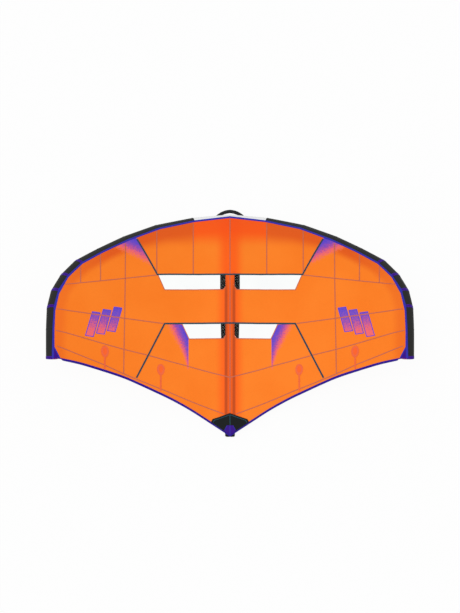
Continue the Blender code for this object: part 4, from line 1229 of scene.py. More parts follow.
strut_seams = []
for y in cross_seams:
    rows = []
    for step in range(cross_seam_steps + 1):
        start = strut_edge + cross_seam_margin
        turn = start + 2 * (math.pi - start) * step / cross_seam_steps
        rows.append([strut_round(share_at(y + felled_width * (0.5 - part / 4)), turn, band_lift)
                     for part in range(5)])
    strut_seams.append(strut_strip("across_strut", rows))
rows = []
front, rear = long_seam
steps = round((front - rear) / long_seam_step)
for step in range(steps + 1):
    share = share_at(front + (rear - front) * step / steps)
    width = felled_width / strut_radius(share)
    rows.append([strut_round(share, long_seam_turn + width * (part / 4 - 0.5), band_lift)
                 for part in range(5)])
strut_seams.append(strut_strip("strut_long", rows))
settle(joined("strut_seams", strut_seams), "charcoal_tube_cloth")


# Trim that is sewn on the canopy is laid on its upper side: tapes along the load lines and over
# the seams between the cloth's panels, sewn down by two rows of stitches each.
trim_lift = 0.0012
trim_wall = 0.0007
trim_step = 0.012
seam_width = 0.008
overhead = 2.0                 # a height above the whole wing
pull_step = 0.004
pulls = 40


def canopy_below(x, y):
    """The point of the canopy under a place overhead and its normal, or None twice."""
    return canopy_tree.ray_cast(Vector((x, y, overhead)), -up)[:2]


def canopy_height_near(x, y):
    """The canopy's height at the first place towards the middle that lies on it."""
    for pull in range(1, pulls):
        share = 1 - pull * pull_step
        hit = canopy_below(x * share, y * share)[0]
        if hit is not None:
            return hit.z
    return 0.0


def on_canopy(x, y, lift=trim_lift):
    """The point of the canopy above a plan point, and a lift off it."""
    hit, normal = canopy_below(x, y)
    if hit is None:
        near, normal = canopy_tree.find_nearest(Vector((x, y, canopy_height_near(x, y))))[:2]
        hit = Vector((x, y, near.z))
    return hit + (normal if normal.z > 0 else -normal) * lift


def stepped(path, step=trim_step, closed=False):
    """A plan line with more points, none further apart than a step."""
    line = []
    ends = list(zip(path, path[1:] + path[:1])) if closed else list(zip(path, path[1:]))
    for here, after in ends:
        run = Vector(after) - Vector(here)
        count = max(1, math.ceil(run.length / step))
        line += [Vector(here) + run * part / count for part in range(count)]
    return line if closed else line + [Vector(path[-1])]


def offset_line(line, offset):
    """The line beside a plan line, mitred at its corners."""
    beside = []
    for index, here in enumerate(line):
        runs = []
        if index:
            runs.append((here - line[index - 1]).normalized())
        if index + 1 < len(line):
            runs.append((line[index + 1] - here).normalized())
        sides = [Vector((-run.y, run.x)) for run in runs]
        across = sum(sides, Vector((0, 0))).normalized()
        beside.append(here + across * offset / max(0.3, across.dot(sides[0])))
    return beside


def stitch_place(point, lift):
    """A stitch's place above a plan point, and the way out of the cloth there."""
    place = on_canopy(point.x, point.y, lift)
    return place, (place - on_canopy(point.x, point.y, 0)).normalized()


def sewn_strip(name, path, width, finish, stitches="seam", lift=trim_lift, wall=trim_wall):
    """A flat strip laid along a plan line, and the lines of its two rows of stitches."""
    line = stepped([tuple(point) for point in path])
    half = width / 2
    columns = [offset_line(line, -half + width * part / 4) for part in range(5)]
    rings = [[on_canopy(column[row].x, column[row].y, lift) for column in columns]
             for row in range(len(line))]
    made = plain_piece(name, facing_up(cloth_mesh(name, rings)), finish)
    if stitches:
        for side in (-1, 1):
            row = offset_line(line, side * (half - stitch_inset))
            stitch_lines[stitches].append([stitch_place(p, lift + wall) for p in row])
    return thickened(made, wall)


def on_side(path, side):
    """A plan line of the right side, as it lies on either side."""
    return [(side * x, y) for x, y in path]


def both(path):
    """A plan line of the right side, carried across the middle to the left."""
    return [(-x, y) for x, y in reversed(path) if x > 0] + list(path)


navy_tape = cloth_finish("navy_tape", (24, 50, 64), (34, 64, 80), 0.55)
seam_cloth = cloth_finish("seam_cloth", (188, 100, 78), (200, 110, 86), 0.6)
load_tape_width = 0.013
front_tape_path = [(0, 0.3088), (0.098, 0.3128), (0.196, 0.3198), (0.295, 0.3228), (0.393, 0.3188),
                   (0.491, 0.3098), (0.588, 0.2988), (0.756, 0.6158)]
rear_tape_path = [(0, -0.1022), (0.088, -0.1002), (0.176, -0.0962), (0.264, -0.0942),
                  (0.351, -0.0962), (0.439, -0.1032), (0.526, -0.1112), (0.748, -0.5712)]
for name, path in (("front", front_tape_path), ("rear", rear_tape_path)):
    tape = sewn_strip(f"load_tape_{name}_cloth", both(path), load_tape_width, navy_tape, "tape",
                      trim_lift + 0.0004)
    settle(tape, "navy_tape_cloth", f"load_tape_{name}")

panel_seams = (
    ((0.301, 0.8178), (0.299, 0.5458), (0.298, 0.3308)),
    ((0.597, 0.7138), (0.595, 0.5228), (0.592, 0.3068)),
    ((0.848, 0.5618), (0.845, 0.2228), (0.846, -0.1152), (0.849, -0.3592), (0.850, -0.5482)),
    ((1.047, 0.4438), (1.041, 0.1948)),
    ((1.202, 0.3058), (1.199, 0.1518)),
    ((0.588, 0.2958), (0.688, 0.2738), (0.787, 0.2518), (0.887, 0.2278), (0.979, 0.2048),
     (1.071, 0.1818), (1.163, 0.1598), (1.254, 0.1398), (1.322, 0.1298)),
    ((0.539, -0.1112), (0.654, -0.1062), (0.769, -0.1022), (0.883, -0.1002), (0.984, -0.1002),
     (1.084, -0.1002), (1.184, -0.1002), (1.284, -0.0992), (1.380, -0.0902)),
    ((0.0, -0.5392), (0.040, -0.5272), (0.343, -0.4432), (0.670, -0.3782), (0.847, -0.3542),
     (1.387, -0.2722)),
    ((0.050, -0.8262), (0.500, -0.6602), (0.851, -0.5502), (1.007, -0.4972), (1.375, -0.4022)),
)
window_seam_width = 0.007
for side, side_name in side_names.items():
    strips = []
    for number, path in enumerate(panel_seams):
        strips.append(sewn_strip(f"seam_{number}_{side_name}", on_side(path, side), seam_width,
                                 seam_cloth))
    for window, front in window_fronts.items():
        rim = [(x, y - window_seam_width / 4) for x, y in window_backs[window]] + [front[0]]
        strips.append(sewn_strip(f"{window}_rim_{side_name}", on_side(rim, side),
                                 window_seam_width, seam_cloth))
    settle(joined(f"canopy_seams_{side_name}", strips), "orange_canopy_cloth")
settle(sewn_strip("canopy_seam_middle", [(0, 0.8758), (0, -0.8142)], seam_width, seam_cloth),
       "orange_canopy_cloth")


# Patches are cut from stiffer cloth and sewn on: egg-shaped pads with stems over the ends of the
# battens, a black shield and a purple corner at the tail, and a purple corner at each tip.
patch_grid = 0.014


def sewn_patch(name, outline, finish, lift=trim_lift, wall=trim_wall, stitches=None):
    """A patch laid on the canopy, with its outline given in plan."""
    corners = stepped([tuple(point) for point in outline], patch_grid, closed=True)
    twice_area = sum(here.cross(after) for here, after in zip(corners, corners[1:] + corners[:1]))
    if twice_area < 0:
        corners.reverse()
    low_x, high_x = min(p.x for p in corners), max(p.x for p in corners)
    low_y, high_y = min(p.y for p in corners), max(p.y for p in corners)
    points = list(corners)
    for column in range(1, int((high_x - low_x) / patch_grid) + 1):
        for row in range(1, int((high_y - low_y) / patch_grid) + 1):
            point = Vector((low_x + (column - 0.5) * patch_grid,
                            low_y + (row - 0.5) * patch_grid))
            clear = min((point - corner).length for corner in corners) > patch_grid / 3
            if clear and inside(corners, point.x, point.y):
                points.append(point)
    flat, _, faces = delaunay_2d_cdt(points, [], [list(range(len(corners)))], 1, 1e-6)[:3]
    mesh = bpy.data.meshes.new(name)
    mesh.from_pydata([on_canopy(p.x, p.y, lift) for p in flat], [], faces)
    layer = mesh.uv_layers.new(name="cloth")
    for loop in mesh.loops:
        layer.data[loop.index].uv = flat[loop.vertex_index]
    if stitches:
        row = offset_line(corners + corners[:1], 2 * stitch_inset)
        stitch_lines[stitches].append([stitch_place(p, lift + wall) for p in row])
    return thickened(plain_piece(name, facing_up(mesh), finish), wall)


teal_thread = cloth_finish("teal_thread", (22, 72, 92), (30, 88, 108), 0.5)
pad_cloth = cloth_finish("pad_cloth", (236, 98, 56), (246, 108, 62), 0.6)
pad_core_cloth = cloth_finish("pad_core_cloth", (250, 92, 28), (255, 102, 36), 0.6)
blue_tape = cloth_finish("blue_tape", (44, 42, 160), (54, 50, 174), 0.5, gloss=0.12)
patch_lift = trim_lift + trim_wall
patch_top = patch_lift + trim_wall + 0.0002
stem_width = 0.011
stem_root = 0.004
pad_half_width = 0.035
pad_points = 20
pad_narrowing = 0.28           # how much narrower the egg is behind than in front
pad_power = 0.9
batten_wall = 0.0018
core_wall = 0.0006
core_half_width = 0.018
core_front_inset = 0.016
core_rear_inset = 0.022
batten_pads = {"inner": (0.555, -0.4422, -0.5342, -0.6602),
               "outer": (1.000, -0.3432, -0.4402, -0.5272)}


def egg(x, front, narrow, half_width, stem_end=None):
    """The outline of an egg: round in front, narrower behind, with a stem if it has an end."""
    outline = []
    length = front - narrow
    for step in range(pad_points):
        turn = math.tau * (step + 0.5) / pad_points
        back = (1 - math.cos(turn)) / 2
        wide = math.sin(turn) * half_width * (1 - pad_narrowing * back)
        outline.append((x + wide, front - length * back ** pad_power))
    if stem_end is not None:
        middle = len(outline) // 2
        half = stem_width / 2
        root = narrow + stem_root
        outline[middle - 1:middle + 1] = [(x + half, root), (x + half, stem_end),
                                          (x - half, stem_end), (x - half, root)]
    return outline


for side, side_name in side_names.items():
    for name, (x, front, narrow, stem_end) in batten_pads.items():
        pad = sewn_patch(f"batten_{name}_{side_name}_pad",
                         egg(side * x, front, narrow, pad_half_width, stem_end), pad_cloth,
                         patch_lift, batten_wall, "seam")
        core = sewn_patch(f"batten_{name}_{side_name}_core",
                          egg(side * x, front - core_front_inset, narrow + core_rear_inset,
                              core_half_width), pad_core_cloth,
                          patch_lift + batten_wall + 0.0002, core_wall)
        settle(pad, "orange_patch_cloth", f"batten_{name}_{side_name}")
        settle(core, "orange_patch_cloth")

edge_inset = 0.0015
edge_step = 0.01


def edge_run(reach):
    """Points along the trailing edge from a distance off the middle to the middle."""
    steps = math.ceil(reach / edge_step)
    xs = [reach - reach * step / steps for step in range(steps + 1)]
    return [(x, trailing_edge(x).y + edge_inset) for x in xs]


def both_halves(half):
    """A closed outline from its right half, which ends in the middle."""
    return half + [(-x, y) for x, y in reversed(half[:-1])]


def tail_strips(name, middle, beside, widths, finish, lift, wall, slot):
    """A strip down the middle of the tail and one on each side of it, as one piece."""
    strips = [sewn_strip(f"{name}_middle", middle, widths[0], finish, None, lift, wall)]
    for side, side_name in side_names.items():
        strips.append(sewn_strip(f"{name}_{side_name}", on_side(beside, side), widths[1],
                                 finish, None, lift, wall))
    settle(joined(name, strips), slot)


shield_half = [(0.139, -0.8672), (0.152, -0.8882), *edge_run(0.152)]
settle(sewn_patch("tail_shield_cloth", [(0, -0.8212), *both_halves(shield_half)],
                  black_patch_cloth, patch_lift, stitches="casing"),
       "black_patch_cloth", "tail_shield")
tail_strips("shield_lines", [(0, -0.8342), (0, -0.9172)],
            [(0.002, -0.8357), (0.125, -0.8772), (0.134, -0.8942)], (0.0034, 0.0034),
            teal_thread, patch_top, 0.0005, "navy_tape_cloth")
tail_half = [(0.026, -0.9192), (0.046, -0.9562), *edge_run(0.040)]
tail_wall = 0.0009
settle(sewn_patch("tail_corner", both_halves(tail_half), purple_tape_cloth, patch_top, tail_wall),
       "purple_tape_cloth")
edge_wall = 0.0004
tail_strips("tail_lines", [(0, -0.9212), (0, trailing_edge(0).y + 0.004)],
            [(0.0235, -0.9212), (0.0430, -0.9562)], (0.0050, 0.0045),
            blue_tape, patch_top + tail_wall + 0.0002, edge_wall, "purple_tape_cloth")

tip_patch_x = 1.3452           # where its inner edge meets the trailing edge
tip_patch_stations = (9.42, 9.6, 9.8, 9.995)
tip_patch_shares = (0.25, 0.5, 0.75, 0.99)
tip_edge_width = 0.0095
corner = [(tip_patch_x, trailing_edge(tip_patch_x).y + edge_inset), (1.4030, -0.3972)]
for station in tip_patch_stations:
    point = canopy_point(station, 0)
    corner.append((point.x - edge_inset, point.y))
for share in tip_patch_shares:
    corner.append(tuple(canopy_point(tip_patch_stations[-1], share).to_2d()))
start_x = tip_patch_x + 0.007
edge = [(start_x, trailing_edge(start_x).y + 2 * edge_inset), (1.4075, -0.4012)]
for side, side_name in side_names.items():
    settle(sewn_patch(f"tip_corner_{side_name}", on_side(corner, side), purple_tape_cloth,
                      patch_lift), "purple_tape_cloth", f"tip_patch_{side_name}")
    settle(sewn_strip(f"tip_corner_edge_{side_name}", on_side(edge, side), tip_edge_width,
                      blue_tape, None, patch_top, edge_wall), "purple_tape_cloth")


# A print on each side: three slanted bars that fade from purple to pink, edged in purple. The ink
# is a thin film on the cloth.
ink_wall = 0.0002
bar_width = 0.062
bar_pitch = 0.086
bar_slant = 0.052
bar_edge = 0.0065
ink_lift = trim_lift - 0.0004
bar_count = 3
first_bar = (0.868, -0.018, -0.220)     # its inner front corner, then where its rear end lies
bar_drop = 0.032
ink_end = -0.268
bar_ink, tree, shader = new_finish("fading_ink", 0.6)
run = map_range(tree, object_axes(tree)[1], first_bar[1], ink_end, 0.05, 0.85)
ink_stops = fade_stops[:-1] + ((1.0, colour(248, 108, 104)),)
shade = ramp(tree, math_node(tree, "ADD", run, sprayed(tree, 0.15)), ink_stops)
tree.links.new(shade, shader.inputs["Base Color"])
edge_ink = cloth_finish("edge_ink", (84, 62, 196), (98, 72, 206), 0.6)
for side, side_name in side_names.items():
    fills = []
    edges = []
    for number in range(bar_count):
        x = first_bar[0] + number * bar_pitch
        front, back = (row - number * bar_drop for row in first_bar[1:])
        outline = on_side([(x, front), (x + bar_width, front),
                           (x + bar_width + bar_slant, back), (x + bar_slant, back)], side)
        fills.append(sewn_patch(f"bar_{number}_{side_name}", outline, bar_ink, ink_lift,
                                ink_wall))
        edges.append(sewn_strip(f"bar_edge_{number}_{side_name}", outline + outline[:1],
                                bar_edge, edge_ink, None, ink_lift + 0.0003, ink_wall))
    settle(joined(f"bars_{side_name}", fills), "purple_tape_cloth")
    settle(joined(f"bar_edges_{side_name}", edges), "purple_tape_cloth")


# A blue ribbon covers the seam where the canopy meets the tube, and a purple hem is folded round
# the trailing edge. Both are woven tape and run from tip to tip. The first two tables say how far
# the ribbon's front edge and its back edge lie behind the seam, by station.
ribbon_fronts = ((0, -0.011), (1, -0.009), (4, -0.008), (6, -0.003), (7, -0.002), (8, -0.003),
                 (9, -0.006), (10, -0.010))
ribbon_backs = ((0, 0.014), (1, 0.0125), (4, 0.0105), (6, 0.021), (7, 0.038), (8, 0.044),
                (9, 0.032), (10, 0.012))
ribbon_profile = ((-1.00, 0.0006), (-0.96, 0.0020), (-0.70, 0.0027), (-0.40, 0.0029),
                  (0.00, 0.0030), (0.40, 0.0029), (0.70, 0.0027), (0.96, 0.0022), (1.00, 0.0012),
                  (0.50, 0.0014), (0.00, 0.0014), (-0.50, 0.0012))
hem_profile = ((-0.0085, 0.0014), (-0.0085, 0.0021), (0.000, 0.0024), (0.0095, 0.0020),
               (0.0118, 0.0004), (0.0095, -0.0012), (0.000, -0.0016), (-0.0085, -0.0012),
               (-0.0085, -0.0006), (0.0015, -0.0006), (0.0015, 0.0014))
edge_end = 9.985


def edge_ribbon(name, last, ring_at, finish):
    count = round(last / column_step)
    stations = [last * step / count for step in range(count + 1)]
    stations = sorted({round(s, 4) for s in stations} | set(range(1, int(last) + 1)))
    rings = []
    for station in [-s for s in reversed(stations) if s] + stations:
        side = 1 if station >= 0 else -1
        rings.append([mirrored(point, side) for point in ring_at(abs(station))])
    return round_piece(name, rings, finish, 50)


def ribbon_ring(station):
    controls = rib_controls(station)
    length = 3 * (controls[1] - controls[0]).length
    out = rib(station)[1]
    low = min(int(station), last_seam - 1)
    ends = [tube_seam(index)[1:] for index in (low, low + 1)]
    radius, turn = (a + (b - a) * (station - low) for a, b in zip(*ends))
    fore, aft = between_rows(ribbon_fronts, station), between_rows(ribbon_backs, station)
    ring = []
    for along, lift in ribbon_profile:
        reach = fore + (aft - fore) * (along + 1) / 2
        if reach > 0:
            ring.append(canopy_point(station, reach / length) + out * lift)
        else:
            ring.append(tube_point(station, turn - reach / radius, seam_lift + lift))
    return ring


def hem_ring(station):
    back, arrive = rib(station)[3:]
    beside = trailing_edge(back.x + 0.002) - trailing_edge(max(back.x - 0.002, 0))
    out = arrive.cross(beside).normalized()
    return [back + arrive * along + out * lift for along, lift in hem_profile]


hem_cloth = cloth_finish("hem_cloth", (34, 8, 128), (44, 12, 146), 0.5, gloss=0.12)
settle(edge_ribbon("tube_seam_ribbon", edge_end, ribbon_ring, blue_tape),
       "blue_piping_cloth", "canopy_piping")
settle(edge_ribbon("trailing_edge_hem", edge_end, hem_ring, hem_cloth),
       "purple_tape_cloth", "trailing_hem")


# Webbing: a strap for each grip, sewn to the strut by its two ends, a loop for the leash on the
# nose and two loops under the strut for a harness line. It is woven nylon, 3 mm thick.
webbing_wall = 0.0030
strap_width = 0.025
loop_webbing_width = 0.020
loop_eye = 0.017
loop_height = 0.024
loop_foot = 0.008
loop_steps = 14
loop_bend = 0.003
foot_row_share = 0.38
foot_row_end = 0.003           # a foot's rows of stitches start this far from its end
webbing_gap = 0.0003
webbing_profile = ((-1.0, -0.5), (-1.0, 0.5), (-0.93, 0.95), (-0.5, 1.0), (0.5, 1.0), (0.93, 0.95),
                   (1.0, 0.5), (1.0, -0.5), (0.93, -0.95), (0.5, -1.0), (-0.5, -1.0),
                   (-0.93, -0.95))
across_wing = Vector((1, 0, 0))
black_webbing = cloth_finish("black_webbing", (20, 21, 23), (32, 33, 35), 0.75, 0.0018,
                             0.8)


def rounded(path, radius, steps=5):
    """A line of points whose corners are rounded."""
    line = [path[0]]
    for before, corner, after in zip(path, path[1:], path[2:]):
        start = corner + (before - corner).normalized() * radius
        end = corner + (after - corner).normalized() * radius
        for step in range(steps + 1):
            part = step / steps
            line.append(start.lerp(corner, part).lerp(corner.lerp(end, part), part))
    return line + [path[-1]]


def webbing_along(name, path, across, width, wall=webbing_wall, finish=black_webbing):
    """A flat webbing that follows a line of points, square to a direction across it."""
    rings = []
    for index, place in enumerate(path):
        before, after = path[max(index - 1, 0)], path[min(index + 1, len(path) - 1)]
        out = (after - before).normalized().cross(across)
        rings.append([place + across * width / 2 * wide + out * wall / 2 * high
                      for wide, high in webbing_profile])
    return round_piece(name, rings, finish, 50)


def foot_stitches(start, end, out, width):
    """Three rows of stitches that hold a webbing's foot."""
    for share in (-foot_row_share, 0.0, foot_row_share):
        beside = across_wing * width * share
        lift = out * webbing_wall / 2
        stitch_lines["webbing"].append([(start + beside + lift, out), (end + beside + lift, out)])


grip_paths = {
    "front_grip": ((0.5606, 0.1522), (0.5308, 0.1556), (0.5008, 0.0776), (0.1981, 0.0798),
                   (0.1681, 0.1518), (0.1382, 0.1492)),
    "rear_grip": ((0.0884, 0.1448), (0.0586, 0.1416), (0.0286, 0.0636), (-0.1948, 0.0511),
                  (-0.2248, 0.1051), (-0.2545, 0.1009)),
}
strap_bend = 0.007
for name, corners in grip_paths.items():
    path = [Vector((0, y, z)) for y, z in corners]
    settle(webbing_along(f"{name}_webbing", rounded(path, strap_bend), across_wing, strap_width),
           "black_webbing", f"{name}_strap")
    for end, bend in ((path[0], path[1]), (path[-1], path[-2])):
        run = (bend - end).normalized()
        down = run.cross(across_wing)
        foot_stitches(end + run * foot_row_end, bend - run * strap_bend,
                      down if down.z < 0 else -down, strap_width)


def webbing_loop(name, node, origin, along, out):
    """An arch of webbing with two short feet, standing on a surface."""
    middle = (loop_eye + webbing_wall) / 2
    foot = middle + webbing_wall / 2 + loop_foot
    low = webbing_gap + webbing_wall / 2
    shoulder = loop_height - loop_eye / 2 - webbing_wall
    turns = [math.pi * step / loop_steps for step in range(loop_steps + 1)]
    arch = [(middle * math.cos(turn), shoulder + middle * math.sin(turn)) for turn in turns]
    half = rounded([Vector((foot, low)), Vector((middle, low)), Vector(arch[0])], loop_bend)
    line = [*half[:-1], *(Vector(place) for place in arch)]
    line += [Vector((-x, z)) for x, z in reversed(half[:-1])]
    path = [origin + along * x + out * z for x, z in line]
    settle(webbing_along(name, path, across_wing, loop_webbing_width), "black_webbing", node)
    for side in (-1, 1):
        start, end = (origin + along * side * reach + out * low
                      for reach in (foot - foot_row_end / 2, middle + loop_bend + 0.0005))
        foot_stitches(start, end, out, loop_webbing_width)


nose_rise = 0.0014             # the round tube stands this far in front of its flat facets
webbing_loop("leash_webbing", "leash_loop",
             Vector((0, 0.9061, 0.03468)) + Vector((0, 0.70711, -0.70711)) * nose_rise,
             Vector((0, -0.70711, -0.70711)), Vector((0, 0.70711, -0.70711)))
webbing_loop("harness_webbing_front", "harness_loop_front", Vector((0, 0.62799, 0.14457)),
             Vector((0, -0.98057, 0.19615)), Vector((0, -0.19615, -0.98057)))
webbing_loop("harness_webbing_rear", "harness_loop_rear", Vector((0, -0.46087, 0.07081)),
             Vector((0, -0.98792, -0.15496)), Vector((0, 0.15496, -0.98792)))


# Padded pieces: two foam grips round the straps and the handle on the nose, all in knitted black
# cloth. Each starts a little thin and swells as cloth under pressure, held by its seams.
swell_frames = 20
swell_pressure = 1500.0        # its faces are a few millimetres wide, so it takes this much
swell_mass = 0.05
thin_start = 0.0009
grip_swell_limit = 0.0016
handle_swell_limit = 0.0018
padded_cloth = cloth_finish("padded_cloth", (22, 23, 25), (36, 37, 40), 0.8, 0.0022,
                            0.8, 30.0, "Object")


def inflated(made, held, cap):
    """Swells a closed pad under pressure. Held points stay, and none moves more than a cap."""
    starts = [vertex.co.copy() for vertex in made.data.vertices]
    pins = made.vertex_groups.new(name="held")
    pins.add([number for number, place in enumerate(starts) if held(place)], 1.0, "REPLACE")
    cloth = made.modifiers.new("cloth", "CLOTH")
    cloth.settings.use_pressure = True
    cloth.settings.uniform_pressure_force = swell_pressure
    cloth.settings.mass = swell_mass
    cloth.settings.vertex_group_mass = "held"
    cloth.settings.effector_weights.gravity = 0
    cloth.point_cache.frame_end = swell_frames
    for number in range(1, swell_frames + 1):
        bpy.context.scene.frame_set(number)
    applied(made)
    for vertex, start in zip(made.data.vertices, starts):
        move = vertex.co - start
        if move.length > cap:
            vertex.co = start + move * (cap / move.length)
    bpy.context.scene.frame_set(1)
    rounder = made.modifiers.new("smooth", "SUBSURF")
    rounder.levels = rounder.render_levels = 1
    applied(made)
    return made


grip_radius = 0.0165
grip_end_radius = 0.0150
grip_bore = 0.0131
grip_end_gap = 0.010
grip_barrel_share = 0.8
grip_sides = 32
grip_step = 0.004
grip_channels = 4              # the pad is quilted into this many lengths
grip_seam_cosine = 0.995       # within this of the way out below, a point lies on the long seam
bore_margin = 0.0005
for name, corners in grip_paths.items():
    start, end = (Vector((0, *corners[number])) for number in (2, 3))
    along = (end - start).normalized()
    start, end = start + along * grip_end_gap, end - along * grip_end_gap
    length = (end - start).length
    out = along.cross(across_wing)
    count = round(length / grip_step)
    reaches = [length * step / count for step in range(count + 1)]
    outer = []
    for reach in reaches:
        from_end = min(reach, length - reach)
        rise = min(1, from_end / (length * (1 - grip_barrel_share) / 2))
        radius = grip_end_radius + (grip_radius - grip_end_radius) * math.sin(rise * math.pi / 2)
        outer.append((reach, radius - thin_start))
    bore = [(reach, grip_bore) for reach in reversed(reaches)]
    rings = [[start + along * reach + (out * math.cos(turn) + across_wing * math.sin(turn)) * radius
              for turn in angles_round(grip_sides)]
             for reach, radius in [*outer, *bore, outer[0]]]
    mesh = cloth_mesh(f"{name}_foam", rings, closed=True)
    shape = bmesh.new()
    shape.from_mesh(mesh)
    bmesh.ops.remove_doubles(shape, verts=shape.verts, dist=1e-6)
    shape.to_mesh(mesh)
    shape.free()

    def held(place, start=start, along=along, out=out, length=length):
        reach = (place - start).dot(along)
        from_axis = place - start - along * reach
        channel = reach / length * grip_channels
        on_channel = abs(channel - round(channel)) * length / grip_channels < grip_step / 2
        on_seam = from_axis.normalized().dot(out) > grip_seam_cosine
        return from_axis.length < grip_bore + bore_margin or on_channel or on_seam

    foam = piece(f"{name}_foam", mesh, padded_cloth, 60)
    settle(inflated(foam, held, grip_swell_limit), "grip_foam", name)

# The handle arches over the front of the tube, flat at its feet and round between them.
handle_height = 0.055          # from the tube's skin to the middle of the arch
handle_radius = 0.0135
handle_half_length = 0.128
handle_foot_share = 0.14
handle_foot_width = 0.038
handle_foot_wall = 0.0040
handle_foot_gap = 0.0006
handle_power = 2.3
handle_steps = 22
handle_sides = 28
handle_place = 5               # twentieths of a turn round the tube
handle_foot = 0.121            # the sewn feet start here, from the middle
handle_foot_limit = 0.0030     # a section whose half thickness is less is flat
handle_channel = 0.048
handle_channel_half = 0.0022
handle_swell = 0.003           # its padding is this much fuller in front than a plain arch
handle_out = radial(0, math.tau * (handle_place + 0.5) / seat_turns, square_frames)


def handle_section(share):
    """The place, half width and half thickness of the handle at a share of its half length."""
    seat = seat_frame(share * handle_half_length / seat_station_length, handle_place)
    rise = 1 - min(1, abs(share) / (1 - handle_foot_share)) ** handle_power
    wide, thick = (foot / 2 + (handle_radius - foot / 2) * math.sqrt(rise)
                   for foot in (handle_foot_width, handle_foot_wall))
    foot_height = handle_foot_gap + handle_foot_wall / 2
    height = foot_height + (handle_height - foot_height) * rise
    return seat.translation + handle_out * height, wide, thick


def swept(path, out, section):
    """Rings along a line of points. A function makes each from its number and place along the
    line, and from the ways out and across there. The way out turns with the line."""
    rings = []
    for index, place in enumerate(path):
        before, after = path[max(index - 1, 0)], path[min(index + 1, len(path) - 1)]
        run = (after - before).normalized()
        out = (out - run * out.dot(run)).normalized()
        rings.append(section(index, place, out, run.cross(out)))
    return rings


sections = [handle_section(2 * step / handle_steps - 1) for step in range(handle_steps + 1)]
fine = []
for here, after in zip(sections, sections[1:]):
    for part in (0.0, 1 / 3, 2 / 3):
        fine.append(tuple(a.lerp(b, part) if isinstance(a, Vector) else a + (b - a) * part
                          for a, b in zip(here, after)))
fine.append(sections[-1])


def handle_ring(index, place, out, across):
    wide, thick = fine[index][1:]
    foot = thick < handle_foot_limit
    slim = 0 if foot else thin_start
    foot_rise = handle_foot_wall / 2
    full = handle_swell * math.sqrt(max(0, thick - foot_rise) / (handle_radius - foot_rise))
    place = place + out * full
    thick += full
    ring = []
    for turn in angles_round(handle_sides):
        flat = 0.5 if foot else 1.0
        rise = math.copysign(abs(math.cos(turn)) ** flat, math.cos(turn))
        reach = math.copysign(abs(math.sin(turn)) ** flat, math.sin(turn))
        ring.append(place + handle_out * nose_rise / 2 + out * (thick - slim) * rise
                    + across * (wide - slim) * reach)
    return ring


handle = round_piece("nose_handle_pad",
                     swept([row[0] for row in fine], handle_out, handle_ring), padded_cloth, 60)


def handle_held(place):
    """Whether a seam or a foot holds the handle's cloth here."""
    on_channel = abs(abs(place.x) - handle_channel) < handle_channel_half
    return abs(place.x) > handle_foot or on_channel


settle(inflated(handle, handle_held, handle_swell_limit), "black_webbing", "nose_handle")


# A ribbed rubber hose carries air from the tube to the strut. A flange at each end is welded to
# the bladder through a hole in the casing, and a clip sits on the smooth middle of the hose.
hose_radius = 0.0080
hose_groove = 0.0010
hose_rib_pitch = 0.0050
hose_straight = 0.012
hose_inside = 0.0060
hose_swing = 0.055
hose_smooth_half = 0.011       # of the length under the clip
hose_sides = 24
hose_steps = 160
hose_flange_radius = 0.018
hose_flange = 0.0012
flange_gap = 0.0003
flange_round = 0.0008
port_sides = 40


def moulded(name, dark, light, roughness, grain=(1400.0, 0.25, 0.0001), mottle_scale=120.0):
    """A moulded plastic or rubber. Its grain has a scale, a strength and a depth."""
    finish, tree, shader = new_finish(name, roughness)
    scale, strength, depth = grain
    bump = add_node(tree, "ShaderNodeBump", {"Height": noise_node(tree, scale, 2.0),
                                             "Strength": strength, "Distance": depth})
    tree.links.new(bump.outputs[0], shader.inputs["Normal"])
    mottled(tree, shader, dark, light, mottle_scale)
    return finish


def above_seat(seat, height):
    return seat @ Vector((0, 0, height))


black_hose_rubber = moulded("black_hose_rubber", (20, 20, 21), (30, 30, 31), 0.45,
                            (900.0, 0.3, 0.0002), 60.0)
hose_corners = [above_seat(hose_seat, hose_straight),
                above_seat(hose_seat, hose_straight + hose_swing),
                above_seat(strut_port, hose_straight + hose_swing),
                above_seat(strut_port, hose_straight)]
hose_path = [above_seat(hose_seat, -hose_inside), above_seat(hose_seat, hose_straight / 2)]
hose_path += [bezier(hose_corners, step / hose_steps) for step in range(hose_steps + 1)]
hose_path += [above_seat(strut_port, hose_straight / 2), above_seat(strut_port, -hose_inside)]
hose_lengths = [0.0]
for here, after in zip(hose_path, hose_path[1:]):
    hose_lengths.append(hose_lengths[-1] + (after - here).length)
hose_middle = hose_lengths[2 + hose_steps // 2]


def hose_ring(index, place, out, across):
    """A ring of the hose: ribbed, and smooth beside its ends and under the clip."""
    reach = hose_lengths[index] - hose_middle
    ribbed = min(1, max(0, (abs(reach) - hose_smooth_half) / hose_rib_pitch))
    if index < 3 or index > len(hose_path) - 4:
        ribbed = 0
    wave = (1 - math.cos(math.tau * reach / hose_rib_pitch)) / 2
    radius = hose_radius - hose_groove * ribbed * wave
    return [place + (out * math.cos(turn) + across * math.sin(turn)) * radius
            for turn in angles_round(hose_sides)]


